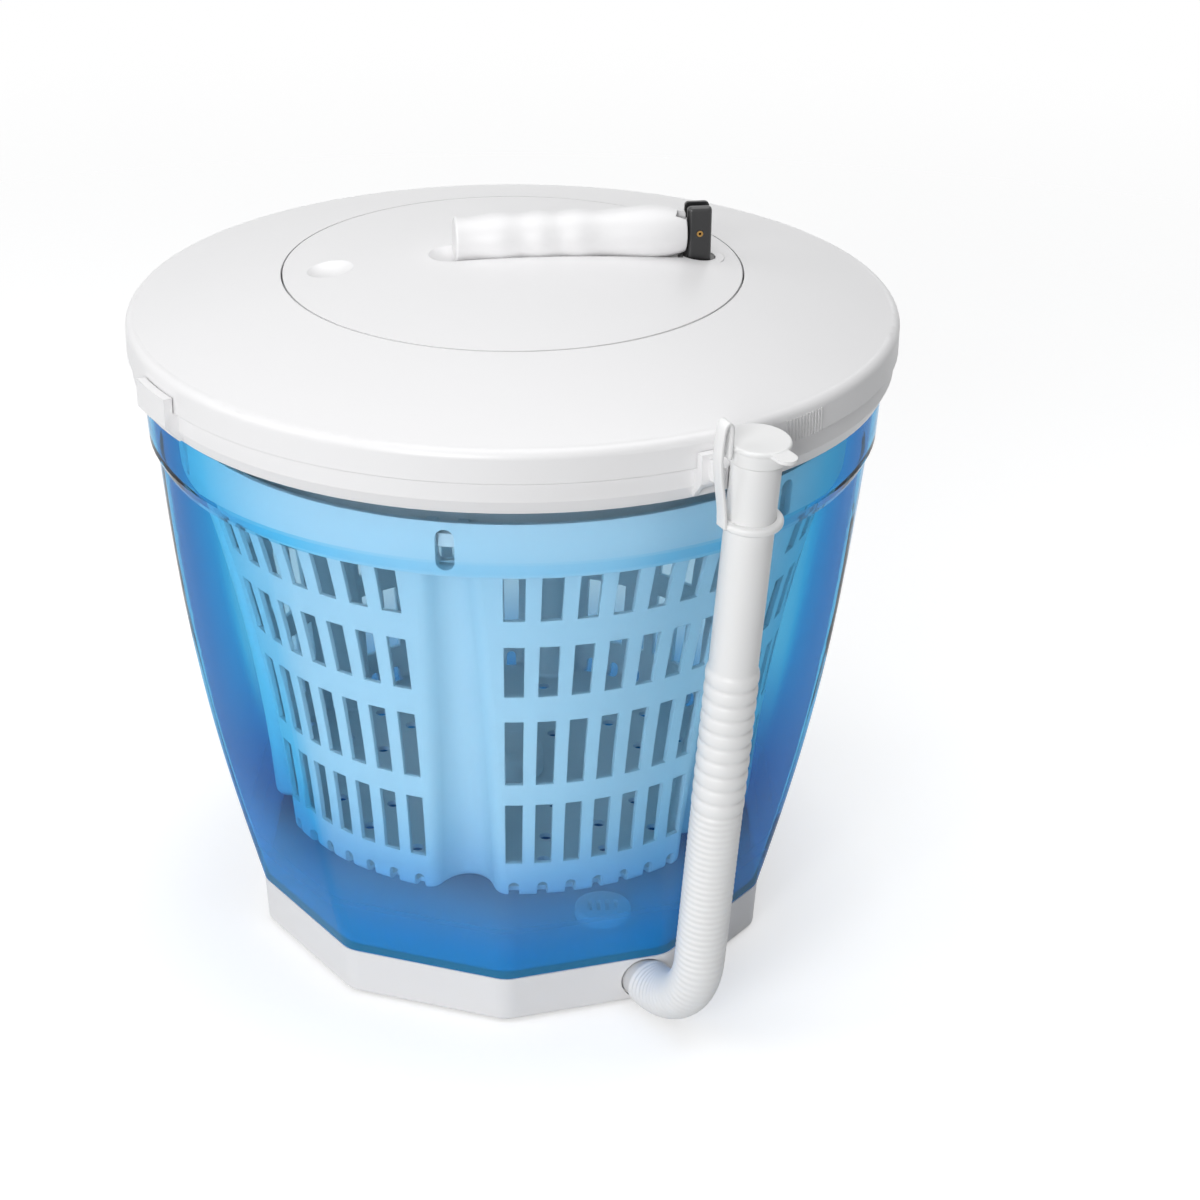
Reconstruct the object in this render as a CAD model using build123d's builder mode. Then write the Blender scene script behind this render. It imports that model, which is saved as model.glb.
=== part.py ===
from build123d import *
import math
import os

# Hand-crank washing machine. Millimetres, +Z up, origin on the floor under the middle of the base.
# The front faces -Y.

# Heights above the floor
overall_height = 345.0
foot_height = 1.5
base_top = 24.0
tub_step = 243.0
collar_bottom = 274.4
collar_shoulder = 289.0
collar_top = 296.0
dome_crown = 327.3

# Tub
tub_sides = 10
tub_first_corner = -91.5
tub_corner_trim = 4.6
tub_foot_edge = 1.2
tub_foot_radius = 124.0
tub_low_radius = 137.6
tub_mid_radius = 148.7
tub_high_radius = 156.4
tub_step_radius = 161.0
tub_band_radius = 164.4
tub_rim_radius = 166.0
tub_band_rise = 7.0
tub_wall = 2.6
tub_floor = 3.0
tub_boss_radius = 14.0
tub_boss_height = 12.0
tub_spigot_radius = 108.4
tub_spigot_depth = 5.0

# Base
base_foot_radius = 122.6
base_foot_edge = 1.2
base_wall = 2.6
base_ledge = 2.5
plate_thickness = 2.0
plate_clearance = 0.6
seat_clearance = 0.3
pad_count = 5
pad_radius = 9.0
pad_circle = 104.0
screw_circle = 84.0
screw_first_angle = -24.0
screw_boss_radius = 5.0
screw_head_radius = 3.6
screw_head_height = 1.2
screw_shank_radius = 1.9
screw_clearance = 0.12
base_screw_length = 15.0
rib_thickness = 3.0

# Pivot and basket bearing
pivot_radius = 4.0
pivot_flange_radius = 7.0
pivot_flange_height = 2.0
pivot_tip = 69.0
pivot_tail = 14.0
pivot_nut_flats = 13.0
pivot_nut_height = 6.5
seal_thickness = 1.0
thrust_washer_radius = 10.0
thrust_washer_height = 1.2
running_fit = 0.05
push_fit = 0.05

# Basket
basket_bottom = 62.0
basket_foot_radius = 114.0
basket_mid_height = 148.0
basket_mid_radius = 125.0
basket_shoulder = 240.0
basket_shoulder_radius = 147.5
basket_rim_radius = 151.0
basket_top = 263.0
basket_top_radius = 153.0
basket_wall = 2.2
basket_foot_fillet = 4.0
flute_count = 6
flute_first_angle = -100.5
flute_half_width = 14.0
flute_reach = 24.0
flute_shoulder = 6.5
flute_run_out = 20.0
flute_run_out_draw = 2.4
flute_top_depth = 6.0
flute_mid_depth = 11.0
flute_foot_depth = 16.0
slot_columns = 7
slot_pitch = 6.4
slot_width_angle = 3.7
slot_rows = ((80.5, 112.5), (123.5, 158.0), (171.5, 198.5), (212.5, 236.5))
notch_height = 8.0
notch_width = 4.8
notch_depth = 12.0
drain_hole_radius = 3.0
drain_hole_rings = ((40.0, 9), (66.0, 15), (86.0, 18))
hub_radius = 15.0
hub_bottom = 42.0
hub_top = 78.0
hub_round = 5.0
bush_radius = 10.0
bush_flange_radius = 14.0
pocket_pad_width = 18.0
pocket_pad_reach = 143.2
pocket_width = 8.6
pocket_floor = 245.0
rim_slot_width = 8.0
rim_slot_bottom = 240.8
rim_slot_top = 259.5

# Lid
lid_diameter = 344.0
dome_radius = 600.0
lid_wall = 2.6
lid_edge_radius = 4.0
lid_skirt_wall = 2.4
disc_radius = 102.0
disc_gap = 0.8
well_wall = 2.6
well_floor = 300.5
ledge_thickness = 4.5
ledge_inner_radius = 90.0
seal_inner_radius = 161.6
seal_outer_radius = 166.4
seal_groove_depth = 3.0
seal_side_gap = 0.1
seal_rib = 2.2
grip_rib_count = 12
grip_rib_first_angle = -49.6
grip_rib_pitch = 0.65
grip_rib_width = 0.9
grip_rib_proud = 0.5

# Collar
collar_radius = 170.2
collar_foot_radius = 167.3
collar_upstand = 1.9
collar_lip_radius = 160.5
collar_lip = 2.0
block_count = 4
block_radius = 176.5
block_width_angle = 9.4
block_wall = 2.0
block_front_bottom = 283.5
block_foot = 276.0
lid_side_gap = 0.6

# Gear train
gear_module = 1.5
ring_teeth = 72
planet_teeth = 27
sun_teeth = 18
planet_count = 3
planet_first_angle = 60.0
pressure_angle = 20.0
backlash = 0.30
addendum_factor = 1.0
dedendum_factor = 1.25
flank_points = 4
gear_bottom = 306.0
gear_thickness = 9.0
ring_flange_radius = 68.0
ring_flange = 3.0
ring_rise = 2.0
ring_outer_radius = 60.0
ring_screw_circle = 64.0
ring_screw_count = 6
ring_boss_radius = 3.6
small_screw_radius = 1.4
small_head_radius = 2.6
small_head_height = 1.6
axle_radius = 2.5
axle_boss_radius = 5.0
axle_proud = 2.0
clip_thickness = 1.0
clip_radius = 4.4
gear_plate_radius = 101.0
gear_plate_thickness = 2.5
gear_plate_screw_circle = 96.0
gear_plate_screw_count = 6
sun_hub_radius = 11.0
sun_shoulder_radius = 14.0
sun_hub_bottom = 286.0
sun_socket_radius = 7.2
sun_socket_depth = 3.0
drive_bush_wall = 3.0
drive_bush_flange = 3.0
drive_bush_top = 298.0
drive_bush_bottom = 291.0
spindle_radius = 4.0
spindle_boss_radius = 8.0
spindle_boss_gap = 0.4
spindle_cover = 1.4
spindle_groove_depth = 0.8
spindle_clip_radius = 6.5
spindle_tail = 286.8
drive_screw_circle = 9.2
drive_screw_count = 3
drive_screw_length = 8.0
drive_screw_radius = 1.1

# Drive plate
drive_plate_thickness = 3.0
drive_hub_radius = 22.0
drive_cone_radius = 118.0
drive_cone_height = 266.0
drive_edge_radius = 141.0
drive_edge_top = 257.0
drive_edge_bottom = 249.5
drive_lug_reach = 147.4
drive_lug_width = 7.8
drive_hole_rings = ((48.0, 6, 9.0), (84.0, 12, 9.0))

# Crank handle
crank_angle = 7.2
post_distance = 83.0
post_width = 11.0
post_depth = 12.0
post_corner = 2.0
post_crown = 3.5
fork_gap = 5.4
fork_floor = 324.0
hinge_height = 333.0
hinge_pin_radius = 1.4
hinge_pin_bore = 0.6
hinge_pin_proud = 0.2
foot_radius = 8.0
foot_bottom = 304.5
foot_top = 320.3
handle_bush_radius = 10.0
handle_boss_wall = 2.4
handle_hole_gap = 0.4
bush_bottom = 304.0
bush_top = 318.5
retainer_radius = 9.4
retainer_thickness = 1.2
retainer_length = 9.0
grip_start = 77.0
grip_end = -26.0
grip_root_radius = 9.4
grip_neck_radius = 11.0
grip_bump_radius = 11.5
grip_valley_radius = 10.7
grip_tip_radius = 10.3
grip_neck_place = 46.0
grip_bump_places = (28.0, 11.5, -5.0)
grip_valley_places = (36.5, 19.8, 3.2, -13.0)
grip_edge = 1.0
grip_bore = 7.0
grip_bore_end = 50.0
grip_cap_radius = 8.5
grip_cap_thickness = 2.0
grip_plug_length = 6.0
tongue_side_gap = 0.3
tongue_radius = 5.0
tongue_root = 62.0
cheek_sweep_gap = 0.8
cheek_side_gap = 0.4
trough_gap = 0.9
trough_end = -27.0
trough_start = 76.0
dimple_place = -81.0
dimple_radius = 10.5
dimple_depth = 3.4

# Drain and hose
hose_angle = -60.0
outlet_height = 12.6
outlet_place = 84.0
spout_radius = 8.4
spout_bore = 6.6
spout_end = 118.0
cup_radius = 11.0
cup_bottom = 3.9
neck_radius = 8.0
neck_bore = 6.0
neck_top = 29.0
flange_radius = 15.0
flange_thickness = 3.5
strainer_radius = 13.0
strainer_height = 3.0
strainer_grid = 2.0
strainer_slot = 2.0
hose_bore = 8.6
hose_start = 104.0
hose_corner = 160.9
hose_bend = 40.0
hose_lean = 6.4
cuff_radius = 10.0
cuff_length = 19.8
exit_clearance = 0.5
fine_rib_radius = 11.2
fine_rib_valley = 10.8
fine_rib_count = 46
fine_rib_pitch = 3.1
coarse_rib_radius = 11.4
coarse_rib_valley = 10.3
coarse_rib_count = 10
coarse_rib_pitch = 7.1
rib_rise_share = 0.22
rib_crest_share = 0.58
rib_fall_share = 0.80
tube_radius = 10.35
tube_length = 104.8
cradle_gap = 0.35
cradle_half_width = 11.0
cradle_reach = 187.0
cradle_bottom = 285.0
cradle_top = 294.0

# Hose cap
cap_radius = 13.2
cap_disc = 2.0
cap_skirt = 6.0
cap_slack = 1.1
cap_wall = 1.1
cap_tab_reach = 21.0
cap_tab_width = 9.0
cap_tab_thickness = 1.6
cap_tab_angle = 96.0
ring_radius = 13.5
ring_height = 3.4
ring_round = 1.4
ring_drop = 36.0
strap_thickness = 1.5
strap_width = 6.0
strap_gap = 0.15
strap_bulge = 19.5
strap_loop_top = 13.0

# Worked out from the sizes above
lid_radius = lid_diameter / 2
dome_middle = dome_crown - dome_radius
well_radius = disc_radius + disc_gap
ledge_bottom = well_floor - ledge_thickness
plate_bottom = ledge_bottom - gear_plate_thickness
gear_top = gear_bottom + gear_thickness
planet_orbit = gear_module * (sun_teeth + planet_teeth) / 2
sheet_top = foot_height + plate_thickness
floor_top = base_top + tub_floor
pivot_seat = base_top + tub_boss_height
washer_bottom = pivot_seat + pivot_flange_height
bush_foot = washer_bottom + thrust_washer_height
trough_radius = grip_bump_radius + trough_gap
seal_roof = collar_top + 1.5 + seal_groove_depth
turn = math.radians


def dome_height(radius, depth=0.0):
    """Height of the domed top at a radius, or of its underside at a depth below it."""
    return dome_middle + math.sqrt((dome_radius - depth) ** 2 - radius ** 2)


def polar(radius, degrees):
    """Point at a radius and an angle round the main axis."""
    return (radius * math.cos(turn(degrees)), radius * math.sin(turn(degrees)))


def around(radius, count, first_angle, height=0.0):
    """Evenly spaced places on a circle round the main axis, each turned to face outwards."""
    places = []
    for i in range(count):
        angle = first_angle + 360 * i / count
        places.append(Location((*polar(radius, angle), height), (0, 0, angle)))
    return places


def upright_plane(degrees):
    """Plane through the main axis whose local X points outwards and local Y points up."""
    normal = (math.sin(turn(degrees)), -math.cos(turn(degrees)), 0)
    return Plane(origin=(0, 0, 0), x_dir=(*polar(1, degrees), 0), z_dir=normal)


def faceted_section(height, corner_radius, roundness):
    """Outline with ten rounded corners, whose sides bulge from straight at 0 to a true circle at 1."""
    flat_radius = corner_radius * math.cos(math.pi / tub_sides)
    side_radius = flat_radius + (corner_radius - flat_radius) * roundness
    step = 360 / tub_sides
    trim_angle = math.degrees(tub_corner_trim / corner_radius)
    with BuildSketch(Plane.XY.offset(height)) as section:
        with BuildLine():
            for i in range(tub_sides):
                angle = tub_first_corner + step * i
                start = polar(corner_radius, angle)
                end = polar(corner_radius, angle + step)
                if roundness == 1:
                    side_start = polar(corner_radius, angle + trim_angle)
                    side_end = polar(corner_radius, angle + step - trim_angle)
                    ThreePointArc(polar(corner_radius, angle - trim_angle), start, side_start)
                    ThreePointArc(side_start, polar(corner_radius, angle + step / 2), side_end)
                elif roundness > 0:
                    ThreePointArc(start, polar(side_radius, angle + step / 2), end)
                else:
                    Line(start, end)
        make_face()
        if roundness < 1:
            half_turn = math.pi / tub_sides * (1 - roundness)
            fillet(section.vertices(), radius=tub_corner_trim / math.tan(half_turn))
    return section.sketch


def tub_sections(inset, bottom):
    """Sections of the tub wall from its foot up to the step, drawn in by an inset."""
    span = tub_step - base_top
    radii = (tub_foot_radius, tub_low_radius, tub_mid_radius, tub_high_radius, tub_step_radius)
    sections = []
    for i, radius in enumerate(radii):
        share = i / (len(radii) - 1)
        height = bottom if i == 0 else base_top + span * share
        sections.append(faceted_section(height, radius - inset, share))
    return sections


def involute(angle):
    """Involute function of a pressure angle in radians."""
    return math.tan(angle) - angle


def gear_outline(teeth, tip_factor, root_factor, widen, first_angle):
    """Outline of a spur gear: points up one flank and down the other of every tooth."""
    pitch_radius = gear_module * teeth / 2
    base_radius = pitch_radius * math.cos(turn(pressure_angle))
    tip = pitch_radius + gear_module * tip_factor
    root = pitch_radius - gear_module * root_factor
    half_pitch = math.pi / (2 * teeth) + involute(turn(pressure_angle)) + widen / (2 * pitch_radius)
    flank = []
    for i in range(flank_points + 1):
        radius = root + (tip - root) * i / flank_points
        angle = math.acos(min(1.0, base_radius / radius))
        flank.append((radius, half_pitch - involute(angle)))
    outline = []
    for tooth in range(teeth):
        middle = turn(first_angle) + 2 * math.pi * tooth / teeth
        for radius, half in flank:
            outline.append((radius * math.cos(middle - half), radius * math.sin(middle - half)))
        for radius, half in reversed(flank):
            outline.append((radius * math.cos(middle + half), radius * math.sin(middle + half)))
    return outline


def gear_face(teeth, tip_factor, root_factor, widen, first_angle, height):
    """Face of a spur gear centred on the main axis at a height."""
    with BuildSketch(Plane.XY.offset(height)) as face:
        with BuildLine():
            Polyline(*gear_outline(teeth, tip_factor, root_factor, widen, first_angle), close=True)
        make_face()
    return face.sketch


def planet_phase(angle):
    """Turn of a planet gear that puts one of its gaps against the sun's tooth line."""
    mesh = sun_teeth * angle + planet_teeth * (angle + 180) - 180
    return mesh / planet_teeth


def ring_phase(angle):
    """Turn of the ring gear that puts a tooth space where the planet at this angle has a tooth."""
    return angle - planet_teeth * (angle - planet_phase(angle)) / ring_teeth


def finish(builder, name):
    """Label a finished piece and write it under its own name."""
    builder.part.label = name
    export_step(builder.part, f"parts/{name}.step")


os.makedirs("parts", exist_ok=True)

# Outside and inside of the tub wall
tub_outside = tub_sections(0.0, base_top)
tub_inside = tub_sections(tub_wall, floor_top)

# Upright plane of the drain and hose, and the plane across the drain outlet
spout_plane = upright_plane(hose_angle)
spout_face = Plane(spout_plane.from_local_coords((outlet_place, outlet_height)),
                   x_dir=(0, 0, 1), z_dir=spout_plane.x_dir)

# Space inside the tub, from its floor to its rim
with BuildPart() as tub_space:
    loft(sections=tub_inside)
    with BuildSketch(Plane.XZ):
        with BuildLine():
            Polyline(
                (0, tub_step),
                (tub_step_radius - tub_wall, tub_step),
                (tub_band_radius - tub_wall, tub_step + tub_band_rise),
                (tub_rim_radius - tub_wall, collar_bottom),
                (tub_rim_radius - tub_wall, collar_top),
                (0, collar_top),
                close=True,
            )
        make_face()
    revolve(axis=Axis.Z)

# Tub: clear wall, floor, pivot boss, screw bosses and locating spigot
with BuildPart() as tub:
    loft(sections=tub_outside)
    fillet(tub.edges().group_by(Axis.Z)[0], radius=tub_foot_edge)
    with BuildSketch(Plane.XZ):
        with BuildLine():
            Polyline(
                (0, tub_step),
                (tub_step_radius, tub_step),
                (tub_band_radius, tub_step + tub_band_rise),
                (tub_rim_radius, collar_bottom),
                (tub_rim_radius, collar_top - collar_lip),
                (0, collar_top - collar_lip),
                close=True,
            )
        make_face()
    revolve(axis=Axis.Z)
    add(tub_space.part, mode=Mode.SUBTRACT)
    with BuildSketch(Plane.XY.offset(base_top - tub_spigot_depth)):
        RegularPolygon(tub_spigot_radius, tub_sides, rotation=tub_first_corner)
        RegularPolygon(tub_spigot_radius - tub_wall, tub_sides, rotation=tub_first_corner, mode=Mode.SUBTRACT)
    extrude(amount=tub_spigot_depth)
    with Locations((0, 0, base_top)):
        Cylinder(tub_boss_radius, tub_boss_height, align=(Align.CENTER, Align.CENTER, Align.MIN))
    boss_length = base_top - sheet_top
    with Locations(*around(screw_circle, pad_count, screw_first_angle, sheet_top)):
        Cylinder(screw_boss_radius, boss_length, align=(Align.CENTER, Align.CENTER, Align.MIN))
        Cylinder(
            screw_shank_radius + screw_clearance,
            boss_length,
            align=(Align.CENTER, Align.CENTER, Align.MIN),
            mode=Mode.SUBTRACT,
        )
    with Locations((0, 0, base_top)):
        Cylinder(
            pivot_radius + push_fit,
            2 * tub_boss_height,
            align=(Align.CENTER, Align.CENTER, Align.CENTER),
            mode=Mode.SUBTRACT,
        )
    with Locations((*polar(outlet_place, hose_angle), base_top)):
        Cylinder(neck_radius + push_fit, 4 * tub_floor, mode=Mode.SUBTRACT)
    with BuildSketch(spout_face):
        Circle(cuff_radius + exit_clearance)
    extrude(amount=tub_spigot_radius - outlet_place, mode=Mode.SUBTRACT)
finish(tub, "tub")

# Collar: white ring on the tub rim with four hollow grip blocks and the hose cradle
tube_tilt = turn(hose_lean)
tube_up = spout_plane.x_dir * math.sin(tube_tilt) + Vector(0, 0, 1) * math.cos(tube_tilt)
corner_point = spout_plane.from_local_coords((hose_corner, outlet_height))
tube_line = Plane(corner_point, x_dir=spout_plane.z_dir, z_dir=tube_up)
half_block = block_width_angle / 2
wall_angle = math.degrees(block_wall / block_radius)
lid_side = lid_radius + lid_side_gap
with BuildPart() as tub_collar:
    with BuildSketch(Plane.XZ):
        with BuildLine():
            Polyline(
                (tub_rim_radius + seat_clearance, collar_bottom),
                (collar_foot_radius, collar_bottom),
                (collar_radius, collar_bottom + 3 * collar_lip),
                (collar_radius, collar_shoulder),
                (tub_rim_radius + seat_clearance + collar_upstand, collar_shoulder),
                (tub_rim_radius + seat_clearance + collar_upstand, collar_top),
                (collar_lip_radius, collar_top),
                (collar_lip_radius, collar_top - collar_lip),
                (tub_rim_radius + seat_clearance, collar_top - collar_lip),
                close=True,
            )
        make_face()
    revolve(axis=Axis.Z)
    for i in range(block_count):
        first_edge = hose_angle + 360 * i / block_count - half_block
        with BuildSketch(upright_plane(first_edge)):
            with BuildLine():
                Polyline(
                    (collar_radius - block_wall, block_foot),
                    (collar_radius, block_foot),
                    (block_radius, block_front_bottom),
                    (block_radius, collar_top),
                    (lid_side, collar_top),
                    (lid_side, collar_shoulder),
                    (collar_radius - block_wall, collar_shoulder),
                    close=True,
                )
            make_face()
        revolve(axis=Axis.Z, revolution_arc=block_width_angle)
        with BuildSketch(upright_plane(first_edge + wall_angle)):
            with Locations((collar_radius, block_foot - block_wall)):
                Rectangle(
                    block_radius - block_wall - collar_radius,
                    collar_top - block_foot,
                    align=(Align.MIN, Align.MIN),
                )
        revolve(axis=Axis.Z, revolution_arc=block_width_angle - 2 * wall_angle, mode=Mode.SUBTRACT)
    with BuildSketch(spout_plane):
        with Locations((block_radius - block_wall / 2, cradle_bottom)):
            Rectangle(
                cradle_reach - block_radius + block_wall / 2,
                cradle_top - cradle_bottom,
                align=(Align.MIN, Align.MIN),
            )
    extrude(amount=cradle_half_width, both=True)
    with BuildSketch(tube_line):
        Circle(tube_radius + cradle_gap)
    extrude(amount=collar_top + block_radius, mode=Mode.SUBTRACT)
finish(tub_collar, "tub_collar")

# Base shell: leaning ten-sided skirt, ledge under the tub and clamping ribs
with BuildPart() as base_shell:
    loft(sections=(
        faceted_section(foot_height, base_foot_radius, 0),
        faceted_section(base_top, tub_foot_radius, 0),
    ))
    fillet(base_shell.edges().group_by(Axis.Z)[0], radius=base_foot_edge)
    with BuildSketch(Plane.XY.offset(foot_height)):
        RegularPolygon(base_foot_radius - base_wall, tub_sides, rotation=tub_first_corner)
    extrude(amount=base_top - foot_height - base_ledge, mode=Mode.SUBTRACT)
    with BuildSketch(Plane.XY.offset(foot_height)):
        RegularPolygon(tub_spigot_radius + seat_clearance, tub_sides, rotation=tub_first_corner)
    extrude(amount=base_top, mode=Mode.SUBTRACT)
    rib_length = (base_foot_radius - base_wall) * math.cos(math.pi / tub_sides) - tub_spigot_radius
    rib_height = base_top - base_ledge - sheet_top
    with Locations(*around(tub_spigot_radius + seat_clearance, pad_count, screw_first_angle, sheet_top)):
        Box(
            rib_length + base_wall,
            rib_thickness,
            rib_height + base_ledge / 2,
            align=(Align.MIN, Align.CENTER, Align.MIN),
        )
    with BuildSketch(spout_face):
        Circle(cuff_radius + exit_clearance)
    extrude(amount=2 * (tub_foot_radius - outlet_place), mode=Mode.SUBTRACT)
finish(base_shell, "base_shell")

# Base plate under everything, notched where the hose cuff passes
plate_corner = base_foot_radius - base_wall - plate_clearance
with BuildPart() as base_plate:
    with BuildSketch(Plane.XY.offset(foot_height)):
        RegularPolygon(plate_corner, tub_sides, rotation=tub_first_corner)
        with Locations(*around(screw_circle, pad_count, screw_first_angle)):
            Circle(screw_shank_radius + screw_clearance, mode=Mode.SUBTRACT)
        with Locations(*around(hose_start - exit_clearance, 1, hose_angle)):
            Rectangle(
                plate_corner,
                2 * cuff_radius,
                align=(Align.MIN, Align.CENTER),
                mode=Mode.SUBTRACT,
            )
    extrude(amount=plate_thickness)
finish(base_plate, "base_plate")

# Screws that clamp the plate and the base shell to the tub
with BuildPart() as base_screws:
    with Locations(*around(screw_circle, pad_count, screw_first_angle, foot_height)):
        Cylinder(screw_head_radius, screw_head_height, align=(Align.CENTER, Align.CENTER, Align.MAX))
        Cylinder(
            screw_shank_radius,
            base_screw_length + plate_thickness,
            align=(Align.CENTER, Align.CENTER, Align.MIN),
        )
finish(base_screws, "base_screws")

# Rubber pads that the machine stands on: a ring of them and one under the pivot
with BuildPart() as foot_pads:
    with Locations(Location((0, 0, 0)), *around(pad_circle, pad_count, screw_first_angle)):
        Cylinder(pad_radius, foot_height, align=(Align.CENTER, Align.CENTER, Align.MIN))
finish(foot_pads, "foot_pads")

# Pivot pin on the tub floor, with its flange, nut and seal
with BuildPart() as pivot_pin:
    with Locations((0, 0, pivot_tail)):
        Cylinder(pivot_radius, pivot_tip - pivot_tail, align=(Align.CENTER, Align.CENTER, Align.MIN))
    chamfer(pivot_pin.edges().group_by(Axis.Z)[-1], length=1.0)
    with Locations((0, 0, pivot_seat)):
        Cylinder(pivot_flange_radius, pivot_flange_height, align=(Align.CENTER, Align.CENTER, Align.MIN))
finish(pivot_pin, "pivot_pin")

with BuildPart() as pivot_seal:
    with BuildSketch(Plane.XY.offset(base_top - seal_thickness)):
        Circle(thrust_washer_radius)
        Circle(pivot_radius + push_fit, mode=Mode.SUBTRACT)
    extrude(amount=seal_thickness)
finish(pivot_seal, "pivot_seal")

with BuildPart() as pivot_nut:
    with BuildSketch(Plane.XY.offset(base_top - seal_thickness - pivot_nut_height)):
        RegularPolygon(pivot_nut_flats / 2, 6, major_radius=False)
        Circle(pivot_radius + push_fit, mode=Mode.SUBTRACT)
    extrude(amount=pivot_nut_height)
finish(pivot_nut, "pivot_nut")

with BuildPart() as thrust_washer:
    with BuildSketch(Plane.XY.offset(washer_bottom)):
        Circle(thrust_washer_radius)
        Circle(pivot_radius + 2 * running_fit, mode=Mode.SUBTRACT)
    extrude(amount=thrust_washer_height)
finish(thrust_washer, "thrust_washer")

# Basket body: flaring wall, floor, rim band and hub, with concave flutes
flute_path_points = (
    (basket_foot_radius + flute_reach - flute_foot_depth - flute_run_out_draw, basket_bottom - flute_run_out),
    (basket_mid_radius + flute_reach - flute_mid_depth, basket_mid_height),
    (basket_shoulder_radius + flute_reach - flute_top_depth, basket_shoulder),
)


def flute_group(extra):
    """Oval bars along the basket wall, one for each flute, fatter by an extra radius."""
    with BuildPart() as bars:
        for i in range(flute_count):
            side = upright_plane(flute_first_angle + 360 * i / flute_count)
            with BuildLine(side) as path:
                ThreePointArc(*flute_path_points)
            rail = path.edge()
            with BuildSketch(Plane(rail @ 0, x_dir=side.z_dir, z_dir=rail % 0)):
                Ellipse(flute_half_width + extra, flute_reach + extra)
            sweep(path=rail)
    return bars.part


def basket_form(inset, bottom):
    """Solid of the basket wall drawn in by an inset, from a bottom height to the shoulder."""
    with BuildPart() as form:
        with BuildSketch(Plane.XZ):
            with BuildLine():
                wall = ThreePointArc(
                    (basket_foot_radius - inset, bottom),
                    (basket_mid_radius - inset, basket_mid_height),
                    (basket_shoulder_radius - inset, basket_shoulder),
                )
                Polyline(wall @ 1, (0, basket_shoulder), (0, bottom), wall @ 0)
            make_face()
        revolve(axis=Axis.Z)
        add(flute_group(inset), mode=Mode.SUBTRACT)
        shoulders = form.edges().filter_by(
            lambda edge: edge.bounding_box().size.Z > (basket_shoulder - bottom) / 2
            and Vector(edge.center().X, edge.center().Y, 0).length > basket_foot_radius - inset)
        fillet(shoulders, radius=flute_shoulder - inset)
        fillet(form.edges().group_by(Axis.Z)[0], radius=basket_foot_fillet - inset)
    return form.part


slot_angles = []
for panel in range(flute_count):
    for column in range(slot_columns):
        middle = flute_first_angle + (panel + 0.5) * 360 / flute_count
        slot_angles.append(middle + (column - (slot_columns - 1) / 2) * slot_pitch)

basket_outside = basket_form(0.0, basket_bottom)
basket_inside = basket_form(basket_wall, basket_bottom + basket_wall)


def wedge_outline(radius, width_angle):
    """Corners of a thin wedge from the main axis outwards."""
    half = width_angle / 2
    return ((0, 0), polar(radius, -half), polar(radius, half))


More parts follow.
